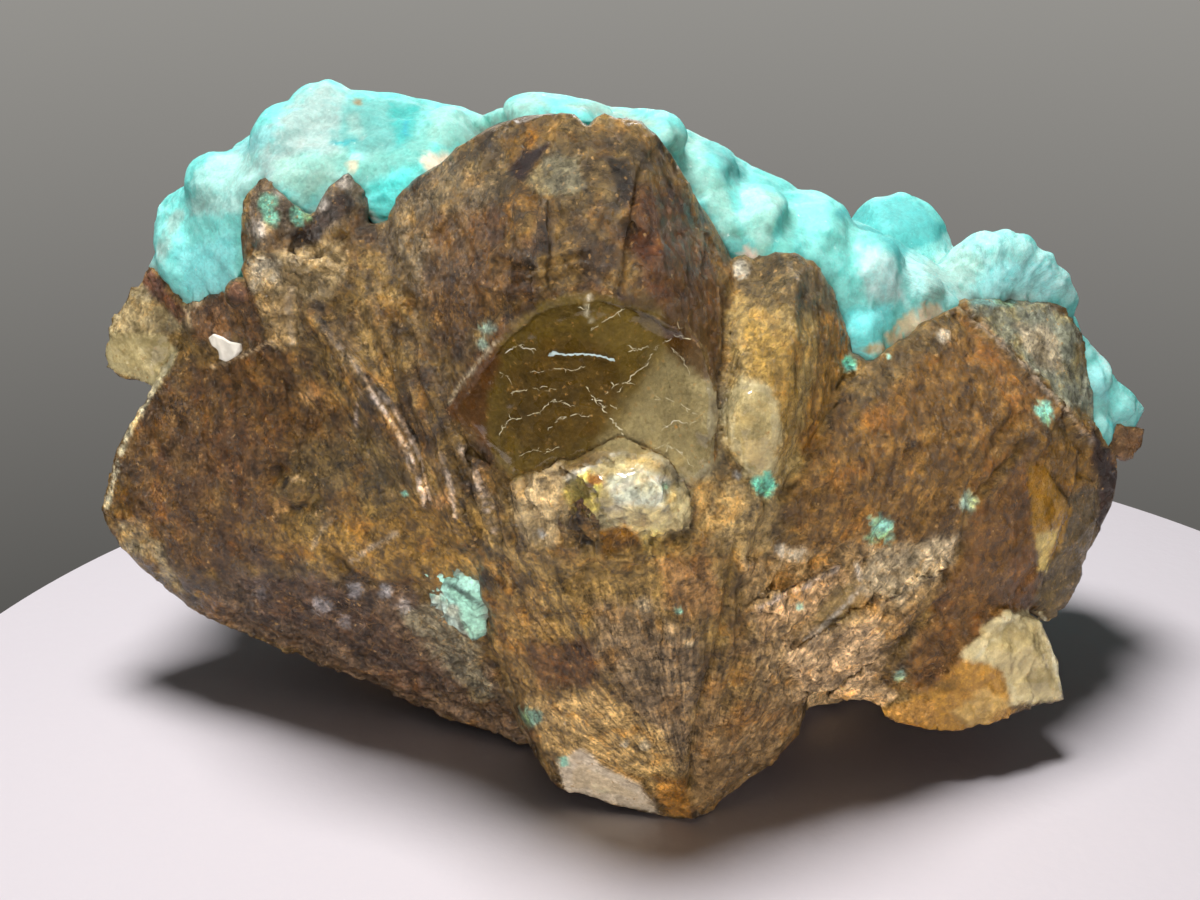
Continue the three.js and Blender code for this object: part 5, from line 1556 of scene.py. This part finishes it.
class SPECIMEN_OT_small_pieces(bpy.types.Operator):
    """Builds the lint fibre in the window and the white flake on the left plate"""

    bl_idname = "specimen.small_pieces"
    bl_label = "Fibre and flake"

    def execute(self, context):
        tree = tree_of(bpy.data.objects["stained_calcite_cluster"])
        pane = tree_of(bpy.data.objects["clear_calcite_window"])
        centres, radii = [], []
        pixels = spread(FIBRE, 2.5)
        under = [np.linalg.norm(on_surface(pixel, pane) - EYE) for pixel in pixels]
        under = np.convolve(np.pad(under, 2, mode="edge"), np.ones(5) / 5, "valid")
        for pixel, share, depth in zip(pixels, np.linspace(0, 1, len(pixels)), under):
            reach = depth - FIBRE_LIFT
            shake = 0.05 * np.sin([41 * share, 53 * share, 67 * share])
            centres.append(EYE + sight(pixel) * reach + shake)
            # A knot near one end and a smaller one near the other.
            knot = 0.17 * math.exp(-((share - 0.08) / 0.05) ** 2)
            knot += 0.05 * math.exp(-((share - 0.95) / 0.04) ** 2)
            rough = knot * (1 + 0.5 * math.sin(90 * share)) + 0.03 * math.sin(61 * share)
            radii.append(FIBRE_RADIUS + rough)
        radii[0] = radii[-1] = 0.04
        shape = bmesh.new()
        strand(shape, centres, radii, 8)
        # A textile lint: matt pale blue-grey cotton. Its threads are too fine to show, so the
        # two greys are mixed at 0.3 mm.
        lint = plain_material("cotton_lint", "#c6d6d6", "#8fa5a2", 0.3 * MM, Roughness=0.8)
        finished_piece("lint_fibre", shape, lint)
        shape = bmesh.new()
        places = [(on_surface(pixel, tree) - sight(pixel) * 0.9) * MM for pixel in FLAKE]
        face = shape.faces.new([shape.verts.new(Vector(place)) for place in places])
        bmesh.ops.triangulate(shape, faces=[face])
        bmesh.ops.subdivide_edges(shape, edges=shape.edges, cuts=5, use_grid_fill=True)
        bmesh.ops.smooth_vert(
            shape, verts=shape.verts, factor=0.4, use_axis_x=True, use_axis_y=True, use_axis_z=True
        )
        made = bmesh.ops.extrude_face_region(shape, geom=shape.faces)
        pushed = [v for v in made["geom"] if isinstance(v, bmesh.types.BMVert)]
        bmesh.ops.translate(shape, verts=pushed, vec=Vector(VIEW_AHEAD) * 2.2 * MM)
        places = np.array([v.co for v in shape.verts]) / MM
        for v, rise in zip(shape.verts, 0.12 * noise(places / 0.7)):
            v.co += Vector((0, -1, 0)) * rise * MM
        # A chip of clean calcite or paper-white clay: matt off-white.
        chip = plain_material("white_chip", "#f3efe4", "#d9d3c4", 0.5 * MM, Roughness=0.7)
        finished_piece("white_flake", shape, chip)
        return {"FINISHED"}


# The floor's top lies a hair under the specimen, so that the two surfaces don't coincide.
FLOOR_CENTRE = (9 * MM, -9.9 * MM, -0.02 * MM)
FLOOR_THICKNESS = 6 * MM

CRUST_PIECES = ("hemimorphite_crust_skin",)
CALCITE_PIECES = (
    "stained_calcite_cluster", "window_fractures", "lint_fibre", "white_flake",
    "weathered_hemimorphite",
)
SPECIMEN_MIDDLE = (0, 0, 0.03)

# The lights: name, place, what it points at, its width, all in metres, its power in watts, its
# colour, and the pieces that it lights where it doesn't light all.
LIGHTS = [
    ("overhead", (-0.05, -0.01, 0.42), SPECIMEN_MIDDLE, 0.15, 1.95, "#fffcfa"),
    ("crust_fill", (-0.06, -0.42, 0.2), SPECIMEN_MIDDLE, 0.12, 1.36, "#fffaf5", CRUST_PIECES),
    ("calcite_fill", (-0.1, -0.36, 0.36), SPECIMEN_MIDDLE, 0.08, 1.2, "#fffaf5", CALCITE_PIECES),
    ("low_fill", (0.06, -0.5, 0.06), (0.01, 0, 0.02), 0.2, 1.68, "#fffaf5", CALCITE_PIECES),
    ("back_fill", (0.05, 0.42, 0.22), SPECIMEN_MIDDLE, 0.2, 0.8, "#fffaf5",
     (*CRUST_PIECES, *CALCITE_PIECES)),
]


def area_light(name, place, aim, size, power, code, receivers=()):
    """A round soft light; with receivers, it lights those pieces alone."""
    light = bpy.data.lights.new(name, "AREA")
    light.shape = "DISK"
    light.size = size
    light.energy = power
    light.color = linear(code)
    lamp = bpy.data.objects.new(name, light)
    lamp.location = place
    lamp.rotation_euler = (Vector(aim) - Vector(place)).to_track_quat("-Z", "Y").to_euler()
    bpy.context.scene.collection.objects.link(lamp)
    if receivers:
        lit = bpy.data.collections.new(f"lit_by_{name}")
        for key in receivers:
            lit.objects.link(bpy.data.objects[key])
        lamp.light_linking.receiver_collection = lit


class SPECIMEN_OT_stage(bpy.types.Operator):
    """Builds the floor, the lights, the surround and the camera"""

    bl_idname = "specimen.stage"
    bl_label = "Stage"

    def execute(self, context):
        settings = context.scene.specimen_stage
        shape = bmesh.new()
        bmesh.ops.create_circle(shape, cap_ends=True, segments=256, radius=settings.radius)
        bmesh.ops.translate(shape, verts=shape.verts, vec=FLOOR_CENTRE)
        made = bmesh.ops.extrude_face_region(shape, geom=shape.faces)
        lower = [v for v in made["geom"] if isinstance(v, bmesh.types.BMVert)]
        bmesh.ops.translate(shape, verts=lower, vec=(0, 0, -FLOOR_THICKNESS))
        bmesh.ops.recalc_face_normals(shape, faces=shape.faces)
        mesh = bpy.data.meshes.new("floor")
        shape.to_mesh(mesh)
        shape.free()
        floor = new_object("floor", mesh)
        material, tree = new_material("matt_floor")
        place = add_node(tree, "ShaderNodeTexCoord").outputs["Object"]
        grain = add_node(tree, "ShaderNodeTexNoise", Vector=place, Scale=1 / (1.6 * MM), Detail=3.0)
        bump = add_node(tree, "ShaderNodeBump", Distance=0.06 * MM, Height=grain)
        shader = add_node(
            tree, "ShaderNodeBsdfPrincipled", Base_Color=(*settings.floor, 1), Roughness=0.6,
            Normal=bump,
        )
        add_node(tree, "ShaderNodeOutputMaterial", Surface=shader)
        mesh.materials.append(material)

        world = bpy.data.worlds.new("studio")
        context.scene.world = world
        world.use_nodes = True
        tree = world.node_tree
        back = tree.nodes["Background"]
        # The surround darkens towards the floor and lights the pieces less than it shows.
        rise = add_node(tree, "ShaderNodeSeparateXYZ", Vector=add_node(tree, "ShaderNodeTexCoord"))
        shade = add_node(
            tree, RANGE, Value=rise.outputs["Z"], From_Min=-0.45, From_Max=-0.1,
            To_Min=0.36, To_Max=1.2,
        )
        tint = add_node(tree, VECTORS, SCALED, _0=settings.wall, Scale=shade)
        tree.links.new(tint.outputs[0], back.inputs["Color"])
        shown = add_node(tree, "ShaderNodeLightPath").outputs["Is Camera Ray"]
        strength = add_node(tree, RANGE, Value=shown, To_Min=0.17, To_Max=1.0)
        tree.links.new(strength.outputs[0], back.inputs["Strength"])

        for row in LIGHTS:
            area_light(*row)

        camera = bpy.data.cameras.new("front")
        camera.sensor_fit = "HORIZONTAL"
        camera.sensor_width = SENSOR_WIDTH
        camera.lens = SENSOR_WIDTH * FOCAL_PIXELS / PICTURE_WIDTH
        eye = bpy.data.objects.new("front", camera)
        turn = Matrix((VIEW_RIGHT, VIEW_UP, -VIEW_AHEAD)).transposed().to_4x4()
        eye.matrix_world = Matrix.Translation(Vector(EYE * MM)) @ turn
        camera.clip_start, camera.clip_end = 0.01, 10
        context.scene.collection.objects.link(eye)
        context.scene.camera = eye
        context.scene.view_settings.view_transform = "Standard"
        return {"FINISHED"}


OPERATORS = (
    SPECIMEN_OT_calcite,
    SPECIMEN_OT_crust,
    SPECIMEN_OT_patch,
    SPECIMEN_OT_window,
    SPECIMEN_OT_small_pieces,
    SPECIMEN_OT_stage,
)


class SPECIMEN_PT_panel(bpy.types.Panel):
    """Lists the specimen's pieces and their settings"""

    bl_label = "Hemimorphite Specimen"
    bl_idname = "SPECIMEN_PT_panel"
    bl_space_type = "VIEW_3D"
    bl_region_type = "UI"
    bl_category = "Specimen"

    def draw(self, context):
        scene = context.scene
        for settings in (scene.specimen_calcite, scene.specimen_crust, scene.specimen_stage):
            box = self.layout.box()
            for key in settings.__annotations__:
                box.prop(settings, key)
        for operator in OPERATORS:
            self.layout.operator(operator.bl_idname)


GROUPS = {
    "specimen_calcite": CalciteSettings,
    "specimen_crust": CrustSettings,
    "specimen_stage": StageSettings,
}


def register():
    for kind in (*GROUPS.values(), *OPERATORS, SPECIMEN_PT_panel):
        bpy.utils.register_class(kind)
    for name, kind in GROUPS.items():
        setattr(bpy.types.Scene, name, bpy.props.PointerProperty(type=kind))


def unregister():
    for name in GROUPS:
        delattr(bpy.types.Scene, name)
    for kind in reversed((*GROUPS.values(), *OPERATORS, SPECIMEN_PT_panel)):
        bpy.utils.unregister_class(kind)


def main():
    register()
    for operator in OPERATORS:
        group, name = operator.bl_idname.split(".")
        getattr(getattr(bpy.ops, group), name)()


if __name__ == "__main__":
    main()
